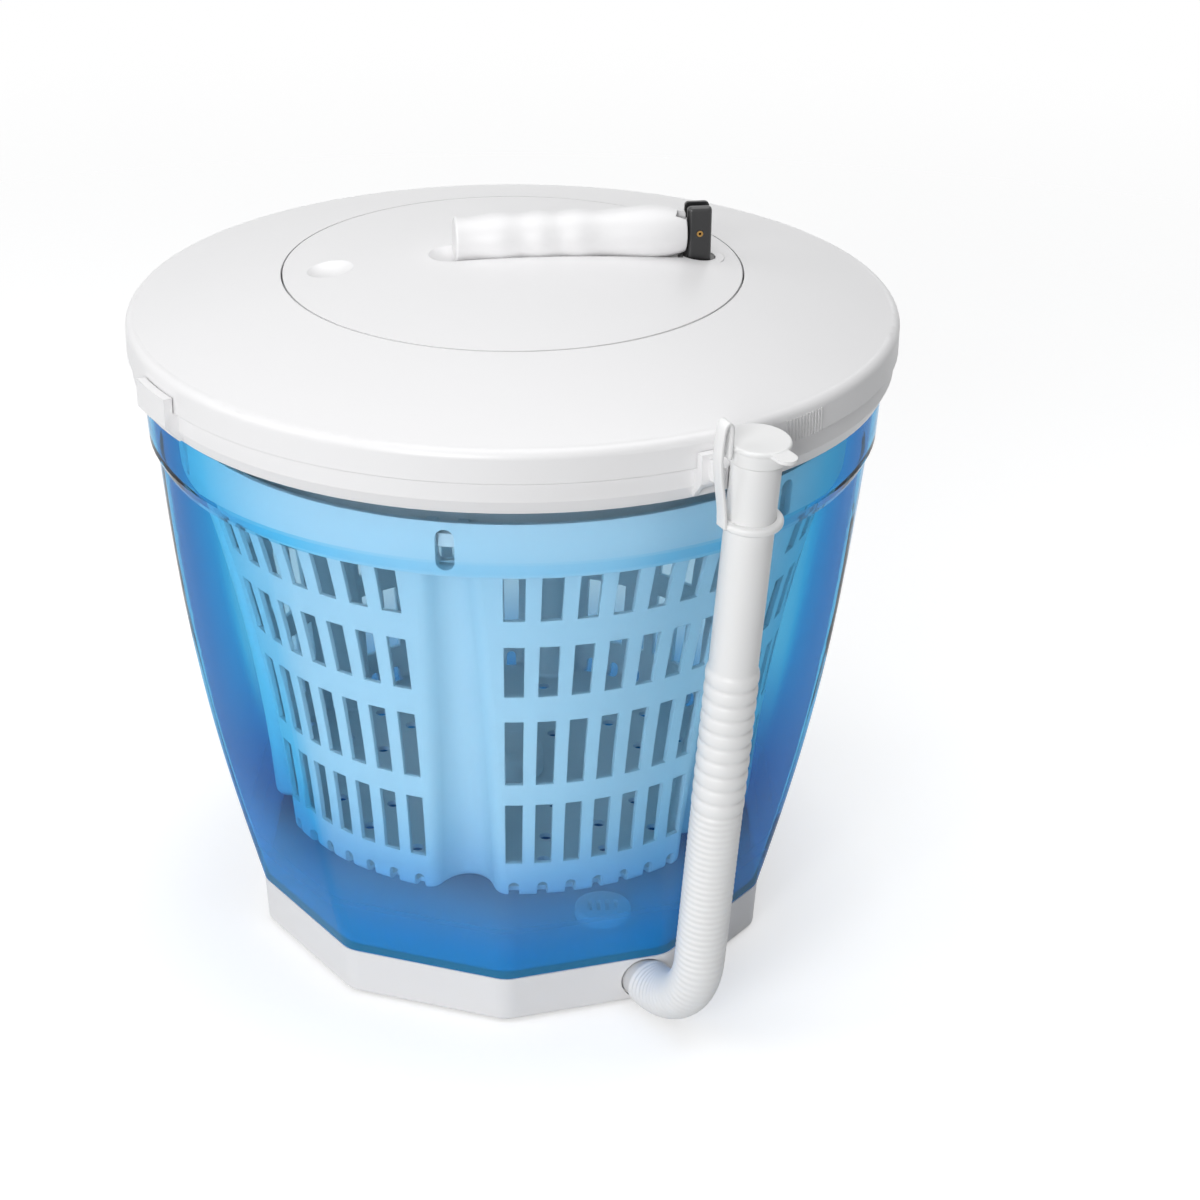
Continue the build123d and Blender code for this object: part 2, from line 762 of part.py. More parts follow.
with BuildPart() as basket:
    add(basket_outside)
    with BuildSketch(Plane.XZ):
        with BuildLine():
            Polyline(
                (basket_shoulder_radius - 2 * basket_wall, basket_shoulder - basket_wall),
                (basket_rim_radius, basket_shoulder - basket_wall),
                (basket_top_radius, basket_top),
                (basket_shoulder_radius - 2 * basket_wall, basket_top),
                close=True,
            )
        make_face()
    revolve(axis=Axis.Z)
    with BuildSketch(Plane.XZ):
        with BuildLine():
            Polyline(
                (0, basket_shoulder),
                (basket_shoulder_radius - basket_wall, basket_shoulder),
                (basket_rim_radius - basket_wall, basket_shoulder + basket_wall),
                (basket_top_radius - basket_wall, basket_top),
                (0, basket_top),
                close=True,
            )
        make_face()
    revolve(axis=Axis.Z, mode=Mode.SUBTRACT)
    add(basket_inside, mode=Mode.SUBTRACT)
    for low, high in slot_rows:
        with BuildSketch(Plane.XY.offset(low)):
            with Locations(*[Location((0, 0, 0), (0, 0, angle)) for angle in slot_angles]):
                Polygon(*wedge_outline(2 * basket_rim_radius, slot_width_angle), align=None)
            Circle(basket_foot_radius - flute_foot_depth, mode=Mode.SUBTRACT)
        extrude(amount=high - low, mode=Mode.SUBTRACT)
    notch_places = []
    for angle in slot_angles:
        notch_start = polar(basket_foot_radius - notch_depth / 2, angle)
        notch_places.append(Location((*notch_start, basket_bottom), (0, 0, angle)))
    with Locations(*notch_places):
        Box(
            notch_depth,
            notch_width,
            2 * (notch_height - notch_width / 2),
            align=(Align.MIN, Align.CENTER, Align.CENTER),
            mode=Mode.SUBTRACT,
        )
        with Locations((0, 0, notch_height - notch_width / 2)):
            Cylinder(
                notch_width / 2,
                notch_depth,
                rotation=(0, 90, 0),
                align=(Align.CENTER, Align.CENTER, Align.MIN),
                mode=Mode.SUBTRACT,
            )
    with BuildSketch(Plane.XY.offset(basket_bottom - basket_wall)):
        for ring_circle, hole_count in drain_hole_rings:
            with Locations(*around(ring_circle, hole_count, flute_first_angle)):
                Circle(drain_hole_radius)
    extrude(amount=3 * basket_wall, mode=Mode.SUBTRACT)
    with Locations((0, 0, hub_bottom)):
        Cylinder(hub_radius, hub_top - hub_bottom, align=(Align.CENTER, Align.CENTER, Align.MIN))
    hub_rim = basket.edges().filter_by(GeomType.CIRCLE).filter_by(
        lambda edge: abs(edge.radius - hub_radius) < 0.01 and abs(edge.center().Z - hub_top) < 0.01)
    fillet(hub_rim, radius=hub_round)
    with Locations((0, 0, hub_bottom)):
        Cylinder(
            bush_radius + push_fit,
            pivot_tip + basket_wall - hub_bottom,
            align=(Align.CENTER, Align.CENTER, Align.MIN),
            mode=Mode.SUBTRACT,
        )
    pad_depth = basket_rim_radius - basket_wall / 2 - pocket_pad_reach
    pad_bottom = basket_shoulder + basket_wall
    with Locations(*around(pocket_pad_reach, flute_count, flute_first_angle, pad_bottom)):
        Box(
            pad_depth,
            pocket_pad_width,
            basket_top - basket_wall - pad_bottom,
            align=(Align.MIN, Align.CENTER, Align.MIN),
        )
    with Locations(*around(pocket_pad_reach, flute_count, flute_first_angle, pocket_floor)):
        Box(
            2 * (drive_lug_reach + basket_wall / 2 - pocket_pad_reach),
            pocket_width,
            basket_top - pocket_floor,
            align=(Align.CENTER, Align.CENTER, Align.MIN),
            mode=Mode.SUBTRACT,
        )
    for i in range(flute_count):
        face_plane = Plane(
            (*polar(pocket_pad_reach, flute_first_angle + 360 * i / flute_count), 0),
            x_dir=(*polar(1, flute_first_angle + 360 * i / flute_count + 90), 0),
            z_dir=(*polar(1, flute_first_angle + 360 * i / flute_count), 0),
        )
        with BuildSketch(face_plane):
            with Locations((0, (rim_slot_bottom + rim_slot_top) / 2)):
                SlotOverall(rim_slot_top - rim_slot_bottom, rim_slot_width, rotation=90)
        extrude(amount=2 * pad_depth, mode=Mode.SUBTRACT)
finish(basket, "basket")

# Plain bearing pressed into the basket hub
with BuildPart() as basket_bush:
    with Locations((0, 0, bush_foot)):
        Cylinder(bush_flange_radius, hub_bottom - bush_foot, align=(Align.CENTER, Align.CENTER, Align.MIN))
        Cylinder(bush_radius, pivot_tip - bush_foot, align=(Align.CENTER, Align.CENTER, Align.MIN))
        Cylinder(
            pivot_radius + running_fit,
            pivot_tip - bush_foot,
            align=(Align.CENTER, Align.CENTER, Align.MIN),
            mode=Mode.SUBTRACT,
        )
finish(basket_bush, "basket_bush")

# Lid: domed shell, skirt, seal groove and the well that carries the gears
edge_start = lid_radius - lid_edge_radius
edge_centre = dome_height(edge_start) - lid_edge_radius
corner = math.sqrt(0.5) * lid_edge_radius
skirt_inside = lid_radius - lid_skirt_wall
rib_foot = seal_roof - seal_groove_depth
seal_rib_inside = seal_inner_radius - seal_rib
with BuildPart() as lid:
    with BuildSketch(Plane.XZ):
        with BuildLine():
            middle_radius = (well_radius + edge_start) / 2
            ThreePointArc(
                (well_radius, dome_height(well_radius)),
                (middle_radius, dome_height(middle_radius)),
                (edge_start, dome_height(edge_start)),
            )
            ThreePointArc(
                (edge_start, dome_height(edge_start)),
                (edge_start + corner, edge_centre + corner),
                (lid_radius, edge_centre),
            )
            inside_end = (seal_rib_inside, dome_height(seal_rib_inside, lid_wall))
            Polyline(
                (lid_radius, edge_centre),
                (lid_radius, collar_shoulder),
                (skirt_inside, collar_shoulder),
                (skirt_inside, rib_foot),
                (seal_outer_radius, rib_foot),
                (seal_outer_radius, seal_roof),
                (seal_inner_radius, seal_roof),
                (seal_inner_radius, rib_foot),
                (seal_rib_inside, rib_foot),
                inside_end,
            )
            well_outside = well_radius + well_wall
            inside_start = (well_outside, dome_height(well_outside, lid_wall))
            inside_middle = (seal_rib_inside + well_outside) / 2
            ThreePointArc(inside_end, (inside_middle, dome_height(inside_middle, lid_wall)), inside_start)
            Polyline(
                inside_start,
                (well_outside, ledge_bottom),
                (ledge_inner_radius, ledge_bottom),
                (ledge_inner_radius, well_floor),
                (well_radius, well_floor),
                (well_radius, dome_height(well_radius)),
            )
        make_face()
    revolve(axis=Axis.Z)
    rib_height = edge_centre - collar_shoulder
    for i in range(grip_rib_count):
        rib_angle = grip_rib_first_angle + grip_rib_pitch * i
        with Locations(Location((*polar(lid_radius - grip_rib_proud, rib_angle), collar_shoulder),
                                (0, 0, rib_angle))):
            Box(2 * grip_rib_proud, grip_rib_width, rib_height, align=(Align.MIN, Align.CENTER, Align.MIN))
    with Locations(*around(gear_plate_screw_circle, gear_plate_screw_count, 0, ledge_bottom)):
        Cylinder(
            small_screw_radius + screw_clearance,
            2 * (ledge_thickness - small_screw_radius),
            mode=Mode.SUBTRACT,
        )
finish(lid, "lid")

# Rubber ring between the lid and the collar
with BuildPart() as lid_seal:
    with BuildSketch(Plane.XY.offset(collar_top)):
        Circle(seal_outer_radius - seal_side_gap)
        Circle(seal_inner_radius + seal_side_gap, mode=Mode.SUBTRACT)
    extrude(amount=seal_roof - collar_top)
finish(lid_seal, "lid_seal")

# Gear plate under the well, with a boss for each planet
bush_outside = sun_hub_radius + running_fit + drive_bush_wall
with BuildPart() as gear_plate:
    with BuildSketch(Plane.XY.offset(plate_bottom)):
        Circle(gear_plate_radius)
        with Locations(*around(gear_plate_screw_circle, gear_plate_screw_count, 0)):
            Circle(small_screw_radius + screw_clearance, mode=Mode.SUBTRACT)
    extrude(amount=gear_plate_thickness)
    with Locations(*around(planet_orbit, planet_count, planet_first_angle, plate_bottom)):
        Cylinder(axle_boss_radius, gear_bottom - plate_bottom, align=(Align.CENTER, Align.CENTER, Align.MIN))
        Cylinder(
            axle_radius + push_fit,
            gear_bottom - plate_bottom,
            align=(Align.CENTER, Align.CENTER, Align.MIN),
            mode=Mode.SUBTRACT,
        )
    with Locations((0, 0, plate_bottom)):
        Cylinder(
            bush_outside + push_fit,
            gear_plate_thickness,
            align=(Align.CENTER, Align.CENTER, Align.MIN),
            mode=Mode.SUBTRACT,
        )
finish(gear_plate, "gear_plate")

with BuildPart() as gear_plate_screws:
    screw_reach = gear_plate_thickness + ledge_thickness - 2 * small_screw_radius
    with Locations(*around(gear_plate_screw_circle, gear_plate_screw_count, 0, plate_bottom)):
        Cylinder(small_head_radius, small_head_height, align=(Align.CENTER, Align.CENTER, Align.MAX))
        Cylinder(small_screw_radius, screw_reach, align=(Align.CENTER, Align.CENTER, Align.MIN))
finish(gear_plate_screws, "gear_plate_screws")

# Planet axles and their clips
axle_top = gear_top + seat_clearance + axle_proud
clip_bottom = gear_top + seat_clearance
with BuildPart() as planet_axles:
    with Locations(*around(planet_orbit, planet_count, planet_first_angle, plate_bottom)):
        Cylinder(axle_radius, axle_top - plate_bottom, align=(Align.CENTER, Align.CENTER, Align.MIN))
finish(planet_axles, "planet_axles")

with BuildPart() as planet_clips:
    with BuildSketch(Plane.XY.offset(clip_bottom)):
        with Locations(*around(planet_orbit, planet_count, planet_first_angle)):
            Circle(clip_radius)
            Circle(axle_radius + push_fit, mode=Mode.SUBTRACT)
    extrude(amount=clip_thickness)
finish(planet_clips, "planet_clips")

# Planet gears
for i in range(planet_count):
    planet_angle = planet_first_angle + 360 * i / planet_count
    outline = gear_outline(
        planet_teeth, addendum_factor, dedendum_factor, -backlash / 2, planet_phase(planet_angle))
    with BuildPart() as planet_gear:
        with BuildSketch(Plane((*polar(planet_orbit, planet_angle), gear_bottom))):
            with BuildLine():
                Polyline(*outline, close=True)
            make_face()
            Circle(axle_radius + running_fit, mode=Mode.SUBTRACT)
        extrude(amount=gear_thickness)
    finish(planet_gear, f"planet_gear_{i + 1}")

# Bush in the gear plate that the sun gear turns in
with BuildPart() as drive_bush:
    with BuildSketch(Plane.XY.offset(drive_bush_bottom)):
        Circle(bush_outside)
    extrude(amount=drive_bush_top - drive_bush_bottom)
    with BuildSketch(Plane.XY.offset(ledge_bottom)):
        Circle(bush_outside + drive_bush_flange)
    extrude(amount=drive_bush_top - ledge_bottom)
    with BuildSketch(Plane.XY.offset(drive_bush_bottom)):
        Circle(sun_hub_radius + running_fit)
    extrude(amount=drive_bush_top - drive_bush_bottom, mode=Mode.SUBTRACT)
finish(drive_bush, "drive_bush")

# Sun gear with its hub, bored for the spindle
with BuildPart() as sun_gear:
    add(gear_face(sun_teeth, addendum_factor, dedendum_factor, -backlash / 2, 0, gear_bottom))
    extrude(amount=gear_thickness)
    with Locations((0, 0, drive_bush_top)):
        Cylinder(sun_shoulder_radius, gear_bottom - drive_bush_top,
                 align=(Align.CENTER, Align.CENTER, Align.MIN))
    with Locations((0, 0, sun_hub_bottom)):
        Cylinder(sun_hub_radius, gear_bottom - sun_hub_bottom,
                 align=(Align.CENTER, Align.CENTER, Align.MIN))
        Cylinder(
            spindle_radius + running_fit,
            gear_top - sun_hub_bottom,
            align=(Align.CENTER, Align.CENTER, Align.MIN),
            mode=Mode.SUBTRACT,
        )
        Cylinder(
            sun_socket_radius,
            sun_socket_depth,
            align=(Align.CENTER, Align.CENTER, Align.MIN),
            mode=Mode.SUBTRACT,
        )
    with Locations(*around(drive_screw_circle, drive_screw_count, 0, sun_hub_bottom)):
        Cylinder(
            drive_screw_radius + screw_clearance,
            drive_screw_length + small_screw_radius,
            align=(Align.CENTER, Align.CENTER, Align.MIN),
            mode=Mode.SUBTRACT,
        )
finish(sun_gear, "sun_gear")

# Drive plate: dished disc whose lugs turn the basket
with BuildPart() as drive_plate:
    with BuildSketch(Plane.XZ):
        with BuildLine():
            Polyline(
                (0, sun_hub_bottom),
                (drive_hub_radius, sun_hub_bottom),
                (drive_cone_radius, drive_cone_height),
                (drive_edge_radius, drive_edge_top),
                (drive_edge_radius, drive_edge_bottom),
                (drive_edge_radius - drive_plate_thickness, drive_edge_bottom),
                (drive_edge_radius - drive_plate_thickness, drive_edge_top - drive_plate_thickness),
                (drive_cone_radius, drive_cone_height - drive_plate_thickness),
                (drive_hub_radius, sun_hub_bottom - drive_plate_thickness),
                (0, sun_hub_bottom - drive_plate_thickness),
                close=True,
            )
        make_face()
    revolve(axis=Axis.Z)
    with Locations(*around(drive_edge_radius - drive_plate_thickness / 2, flute_count,
                           flute_first_angle, drive_edge_bottom)):
        Box(
            drive_lug_reach - drive_edge_radius + drive_plate_thickness / 2,
            drive_lug_width,
            drive_edge_top - drive_edge_bottom - drive_plate_thickness / 2,
            align=(Align.MIN, Align.CENTER, Align.MIN),
        )
    for ring_circle, hole_count, hole_radius in drive_hole_rings:
        with Locations(*around(ring_circle, hole_count, flute_first_angle, sun_hub_bottom)):
            Cylinder(hole_radius, 2 * (sun_hub_bottom - drive_edge_bottom), mode=Mode.SUBTRACT)
    with Locations(*around(drive_screw_circle, drive_screw_count, 0, sun_hub_bottom)):
        Cylinder(drive_screw_radius + screw_clearance, 3 * drive_plate_thickness, mode=Mode.SUBTRACT)
finish(drive_plate, "drive_plate")

with BuildPart() as drive_screws:
    with Locations(*around(drive_screw_circle, drive_screw_count, 0,
                           sun_hub_bottom - drive_plate_thickness)):
        Cylinder(small_head_radius, small_head_height, align=(Align.CENTER, Align.CENTER, Align.MAX))
        Cylinder(
            drive_screw_radius,
            drive_screw_length + drive_plate_thickness,
            align=(Align.CENTER, Align.CENTER, Align.MIN),
        )
finish(drive_screws, "drive_screws")

# Crank disc: flush turning disc with a trough for the grip, a finger dimple and the handle hole
crank_side = upright_plane(crank_angle)
crank_dir = crank_side.x_dir
crank_across = Plane(crank_side.from_local_coords((trough_end, hinge_height)),
                     x_dir=(0, 0, 1), z_dir=crank_dir)
post_point = (*polar(post_distance, crank_angle), 0)
dimple_ball = (dimple_radius ** 2 + dimple_depth ** 2) / (2 * dimple_depth)
dimple_top = dome_height(abs(dimple_place))
dimple_lean = math.asin(abs(dimple_place) / dome_radius)
ball_offset = dimple_ball - dimple_depth
dimple_middle = crank_side.from_local_coords((
    dimple_place - ball_offset * math.sin(dimple_lean), dimple_top + ball_offset * math.cos(dimple_lean)))


def grip_capsule(radius):
    """Round-ended bar along the folded grip."""
    with BuildPart() as bar:
        with BuildSketch(crank_across):
            Circle(radius)
        extrude(amount=trough_start - trough_end)
        with Locations(crank_across.origin):
            Sphere(radius)
    return bar.part


with BuildPart() as disc_filling:
    with BuildSketch(Plane.XZ):
        with BuildLine():
            inner = disc_radius - lid_wall
            ThreePointArc((0, dome_crown), (inner / 2, dome_height(inner / 2)), (inner, dome_height(inner)))
            Polyline((inner, dome_height(inner)), (inner, gear_top), (0, gear_top), (0, dome_crown))
        make_face()
    revolve(axis=Axis.Z)

with BuildPart() as trough_hull:
    add(grip_capsule(trough_radius + lid_wall))
    add(disc_filling.part, mode=Mode.INTERSECT)

with BuildPart() as dimple_hull:
    with Locations(dimple_middle):
        Sphere(dimple_ball + lid_wall)
    add(disc_filling.part, mode=Mode.INTERSECT)

spindle_top = hinge_height - trough_radius - spindle_cover
with BuildPart() as crank_disc:
    with BuildSketch(Plane.XZ):
        with BuildLine():
            half = disc_radius / 2
            inner = disc_radius - lid_wall
            ThreePointArc((0, dome_crown), (half, dome_height(half)), (disc_radius, dome_height(disc_radius)))
            Polyline(
                (disc_radius, dome_height(disc_radius)),
                (disc_radius, well_floor),
                (inner, well_floor),
                (inner, dome_height(inner, lid_wall)),
            )
            ThreePointArc(
                (inner, dome_height(inner, lid_wall)),
                (inner / 2, dome_height(inner / 2, lid_wall)),
                (0, dome_crown - lid_wall),
            )
            Line((0, dome_crown - lid_wall), (0, dome_crown))
        make_face()
    revolve(axis=Axis.Z)
    add(trough_hull.part)
    add(dimple_hull.part)
    with BuildSketch(Plane.XY.offset(gear_top + spindle_boss_gap)):
        Circle(spindle_boss_radius)
    extrude(amount=spindle_top - gear_top)
    ring_seat = gear_top + ring_rise
    with BuildSketch(Plane.XY.offset(ring_seat)):
        with Locations(*around(ring_screw_circle, ring_screw_count, crank_angle + 180 / ring_screw_count)):
            Circle(ring_boss_radius)
    extrude(amount=dome_height(ring_screw_circle, lid_wall) + lid_wall / 2 - ring_seat)
    with BuildSketch(Plane.XY.offset(bush_bottom)):
        with Locations(post_point):
            Circle(handle_bush_radius + handle_boss_wall)
    extrude(amount=dome_height(post_distance, lid_wall) + lid_wall / 2 - bush_bottom)
    add(grip_capsule(trough_radius), mode=Mode.SUBTRACT)
    with Locations(dimple_middle):
        Sphere(dimple_ball, mode=Mode.SUBTRACT)
    with BuildSketch(Plane.XY.offset(bush_bottom)):
        with Locations(post_point):
            Circle(handle_bush_radius + push_fit)
    extrude(amount=bush_top - bush_bottom, mode=Mode.SUBTRACT)
    with BuildSketch(Plane.XY.offset(bush_bottom)):
        with Locations(post_point):
            Circle(foot_radius + handle_hole_gap)
    extrude(amount=dome_crown - bush_bottom, mode=Mode.SUBTRACT)
    with BuildSketch(Plane.XY.offset(gear_top)):
        Circle(spindle_radius + push_fit)
    extrude(amount=spindle_top - gear_top, mode=Mode.SUBTRACT)
    with BuildSketch(Plane.XY.offset(ring_seat)):
        with Locations(*around(ring_screw_circle, ring_screw_count, crank_angle + 180 / ring_screw_count)):
            Circle(small_screw_radius + screw_clearance)
    extrude(amount=dome_height(ring_screw_circle, lid_wall) - ring_seat, mode=Mode.SUBTRACT)
finish(crank_disc, "crank_disc")

# Ring gear under the disc, with inward teeth
with BuildPart() as ring_gear:
    with BuildSketch(Plane.XY.offset(gear_bottom)):
        Circle(ring_outer_radius)
    extrude(amount=gear_thickness + ring_rise)
    with BuildSketch(Plane.XY.offset(ring_seat - ring_flange)):
        Circle(ring_flange_radius)
    extrude(amount=ring_flange)
    add(gear_face(ring_teeth, dedendum_factor, addendum_factor, backlash / 2,
                  ring_phase(planet_first_angle), gear_bottom))
    extrude(amount=gear_thickness + ring_rise, mode=Mode.SUBTRACT)
    with BuildSketch(Plane.XY.offset(ring_seat - ring_flange)):
        with Locations(*around(ring_screw_circle, ring_screw_count, crank_angle + 180 / ring_screw_count)):
            Circle(small_screw_radius + screw_clearance)
    extrude(amount=ring_flange, mode=Mode.SUBTRACT)
finish(ring_gear, "ring_gear")

with BuildPart() as ring_gear_screws:
    reach = ring_flange + dome_height(ring_screw_circle, lid_wall) - ring_seat - screw_clearance
    with Locations(*around(ring_screw_circle, ring_screw_count, crank_angle + 180 / ring_screw_count,
                           ring_seat - ring_flange)):
        Cylinder(small_head_radius, small_head_height, align=(Align.CENTER, Align.CENTER, Align.MAX))
        Cylinder(small_screw_radius, reach, align=(Align.CENTER, Align.CENTER, Align.MIN))
finish(ring_gear_screws, "ring_gear_screws")

# Spindle under the middle of the disc, and the clip that holds it in the sun gear
clip_seat = sun_hub_bottom + sun_socket_depth - seat_clearance - clip_thickness
with BuildPart() as crank_spindle:
    with Locations((0, 0, spindle_tail)):
        Cylinder(spindle_radius, spindle_top - spindle_tail, align=(Align.CENTER, Align.CENTER, Align.MIN))
    with BuildSketch(Plane.XY.offset(clip_seat - push_fit)):
        Circle(spindle_radius)
        Circle(spindle_radius - spindle_groove_depth, mode=Mode.SUBTRACT)
    extrude(amount=clip_thickness + 2 * push_fit, mode=Mode.SUBTRACT)
finish(crank_spindle, "crank_spindle")

with BuildPart() as spindle_clip:
    with BuildSketch(Plane.XY.offset(clip_seat)):
        Circle(spindle_clip_radius)
        Circle(spindle_radius - spindle_groove_depth + push_fit, mode=Mode.SUBTRACT)
        with Locations((spindle_clip_radius, 0)):
            Rectangle(2 * spindle_clip_radius, spindle_radius, mode=Mode.SUBTRACT)
    extrude(amount=clip_thickness)
finish(spindle_clip, "spindle_clip")

# Bush, knuckle and retainer of the folding handle
with BuildPart() as handle_bush:
    with BuildSketch(Plane.XY.offset(bush_bottom)):
        with Locations(post_point):
            Circle(handle_bush_radius)
            Circle(foot_radius + running_fit, mode=Mode.SUBTRACT)
    extrude(amount=bush_top - bush_bottom)
finish(handle_bush, "handle_bush")

hinge_point = crank_side.from_local_coords((post_distance, hinge_height))
with BuildPart() as handle_knuckle:
    with BuildSketch(Plane(post_point, x_dir=crank_dir, z_dir=(0, 0, 1)).offset(foot_top - post_corner)):
        RectangleRounded(post_width, post_depth, post_corner)
    extrude(amount=overall_height - foot_top + post_corner)
    fillet(handle_knuckle.edges().group_by(Axis.Z)[-1], radius=post_crown / 2)
    with BuildSketch(Plane.XY.offset(foot_bottom)):
        with Locations(post_point):
            Circle(foot_radius)
    extrude(amount=foot_top - foot_bottom)
    with BuildSketch(crank_side):
        with Locations((post_distance, fork_floor)):
            Rectangle(2 * post_width, overall_height - fork_floor, align=(Align.CENTER, Align.MIN))
    extrude(amount=fork_gap / 2, both=True, mode=Mode.SUBTRACT)
    with BuildSketch(crank_side):
        with Locations((post_distance, hinge_height)):
            Circle(hinge_pin_radius + push_fit)
    extrude(amount=post_depth, both=True, mode=Mode.SUBTRACT)
    with BuildSketch(Plane.XY.offset(foot_bottom)):
        with Locations(post_point):
            Circle(screw_shank_radius + screw_clearance)
    extrude(amount=retainer_length + screw_clearance, mode=Mode.SUBTRACT)
finish(handle_knuckle, "handle_knuckle")

with BuildPart() as knuckle_retainer:
    with BuildSketch(Plane.XY.offset(bush_bottom - retainer_thickness)):
        with Locations(post_point):
            Circle(retainer_radius)
    extrude(amount=retainer_thickness)
    with BuildSketch(Plane.XY.offset(bush_bottom)):
        with Locations(post_point):
            Circle(screw_shank_radius)
    extrude(amount=foot_bottom - bush_bottom + retainer_length)
finish(knuckle_retainer, "knuckle_retainer")

# Brass tube rivet that the grip folds on
with BuildPart() as hinge_pin:
    with BuildSketch(crank_side):
        with Locations((post_distance, hinge_height)):
            Circle(hinge_pin_radius)
            Circle(hinge_pin_bore, mode=Mode.SUBTRACT)
    extrude(amount=post_depth / 2 + hinge_pin_proud, both=True)
finish(hinge_pin, "hinge_pin")

# Grip with finger swells, hollow at its free end and slotted where the knuckle goes in
grip_axis = Axis(crank_side.from_local_coords((0, hinge_height)), crank_dir)
grip_face = Plane(crank_side.from_local_coords((grip_end, hinge_height)), x_dir=(0, 0, 1), z_dir=crank_dir)
swells = [(grip_start, grip_root_radius), (grip_neck_place, grip_neck_radius)]
swells += [(place, grip_valley_radius) for place in grip_valley_places]
swells += [(place, grip_bump_radius) for place in grip_bump_places]
swells += [(grip_end, grip_tip_radius)]
swells.sort(reverse=True)
cheek_reach = math.hypot(overall_height - hinge_height, post_width / 2) + cheek_sweep_gap
with BuildPart() as grip:
    with BuildSketch(crank_side):
        with BuildLine():
            Spline(*[(place, hinge_height + radius) for place, radius in swells])
            Polyline(
                (grip_end, hinge_height + grip_tip_radius),
                (grip_end, hinge_height),
                (grip_start, hinge_height),
                (grip_start, hinge_height + grip_root_radius),
            )
        make_face()
    revolve(axis=grip_axis)
    fillet(grip.edges().filter_by(GeomType.CIRCLE), radius=grip_edge)
    with BuildSketch(grip_face):
        Circle(grip_bore)
    extrude(amount=grip_bore_end - grip_end, mode=Mode.SUBTRACT)
    with BuildSketch(grip_face):
        Circle(grip_cap_radius + push_fit)
    extrude(amount=grip_cap_thickness, mode=Mode.SUBTRACT)
    for side in (1, -1):
        cheek_plane = crank_side.offset(side * (fork_gap / 2 - tongue_side_gap / 2))
        with BuildSketch(cheek_plane):
            with Locations((post_distance, hinge_height)):
                Circle(cheek_reach)
                with Locations((0, -post_width / 2 - cheek_sweep_gap)):
                    Rectangle(
                        2 * cheek_reach,
                        cheek_reach,
                        align=(Align.CENTER, Align.MAX),
                        mode=Mode.SUBTRACT,
                    )
        extrude(
            amount=side * ((post_depth - fork_gap + tongue_side_gap) / 2 + cheek_side_gap),
            mode=Mode.SUBTRACT,
        )
    with BuildSketch(crank_side):
        with Locations((tongue_root, hinge_height)):
            Rectangle(post_distance - tongue_root, 2 * tongue_radius, align=(Align.MIN, Align.CENTER))
        with Locations((post_distance, hinge_height)):
            Circle(tongue_radius)
            Circle(hinge_pin_radius + running_fit, mode=Mode.SUBTRACT)
    extrude(amount=fork_gap / 2 - tongue_side_gap, both=True)
finish(grip, "grip")

with BuildPart() as grip_cap:
    with BuildSketch(grip_face):
        Circle(grip_cap_radius)
    extrude(amount=grip_cap_thickness)
    with BuildSketch(grip_face):
        Circle(grip_bore - push_fit)
    extrude(amount=grip_cap_thickness + grip_plug_length)
finish(grip_cap, "grip_cap")

# Drain spout under the tub floor, its gasket and the strainer that screws onto it
outlet_point = (*polar(outlet_place, hose_angle), 0)
flange_top = base_top - seal_thickness
with BuildPart() as drain_spout:
    with BuildSketch(Plane.XY.offset(cup_bottom)):
        with Locations(outlet_point):
            Circle(cup_radius)
    extrude(amount=flange_top - cup_bottom)
    with BuildSketch(Plane.XY.offset(flange_top - flange_thickness)):
        with Locations(outlet_point):
            Circle(flange_radius)
    extrude(amount=flange_thickness)
    with BuildSketch(Plane.XY.offset(flange_top)):
        with Locations(outlet_point):
            Circle(neck_radius)
    extrude(amount=neck_top - flange_top)
    with BuildSketch(spout_face):
        Circle(spout_radius)
    extrude(amount=spout_end - outlet_place)
    with BuildSketch(Plane.XY.offset(outlet_height - spout_bore / 2)):
        with Locations(outlet_point):
            Circle(neck_bore)
    extrude(amount=neck_top, mode=Mode.SUBTRACT)
    with BuildSketch(spout_face):
        Circle(spout_bore)
    extrude(amount=spout_end - outlet_place, mode=Mode.SUBTRACT)
finish(drain_spout, "drain_spout")

with BuildPart() as drain_gasket:
    with BuildSketch(Plane.XY.offset(flange_top)):
        with Locations(outlet_point):
            Circle(flange_radius)
            Circle(neck_radius + push_fit, mode=Mode.SUBTRACT)
    extrude(amount=seal_thickness)
finish(drain_gasket, "drain_gasket")

with BuildPart() as drain_strainer:
    with BuildSketch(Plane.XY.offset(floor_top)):
        with Locations(outlet_point):
            Circle(strainer_radius)
    extrude(amount=strainer_height + strainer_grid)
    fillet(drain_strainer.edges().group_by(Axis.Z)[-1], radius=strainer_grid / 2)
    with BuildSketch(Plane.XY.offset(floor_top)):
        with Locations(outlet_point):
            Circle(neck_radius + push_fit)
    extrude(amount=strainer_height, mode=Mode.SUBTRACT)
    with BuildSketch(Plane.XY.offset(floor_top + strainer_height)):
        with Locations(outlet_point):
            with GridLocations(2 * strainer_slot, 0, 4, 1):
                Rectangle(strainer_slot, 1.5 * neck_bore)
    extrude(amount=strainer_grid, mode=Mode.SUBTRACT)
finish(drain_strainer, "drain_strainer")

# Hose route: straight out of the base, one tight bend, then a straight lean up to the rim
with BuildLine(spout_plane) as hose_route:
    FilletPolyline(
        (hose_start, outlet_height),
        (hose_corner, outlet_height),
        (hose_corner + overall_height * math.tan(tube_tilt), outlet_height + overall_height),
        radius=hose_bend,
    )
route = hose_route.wire()


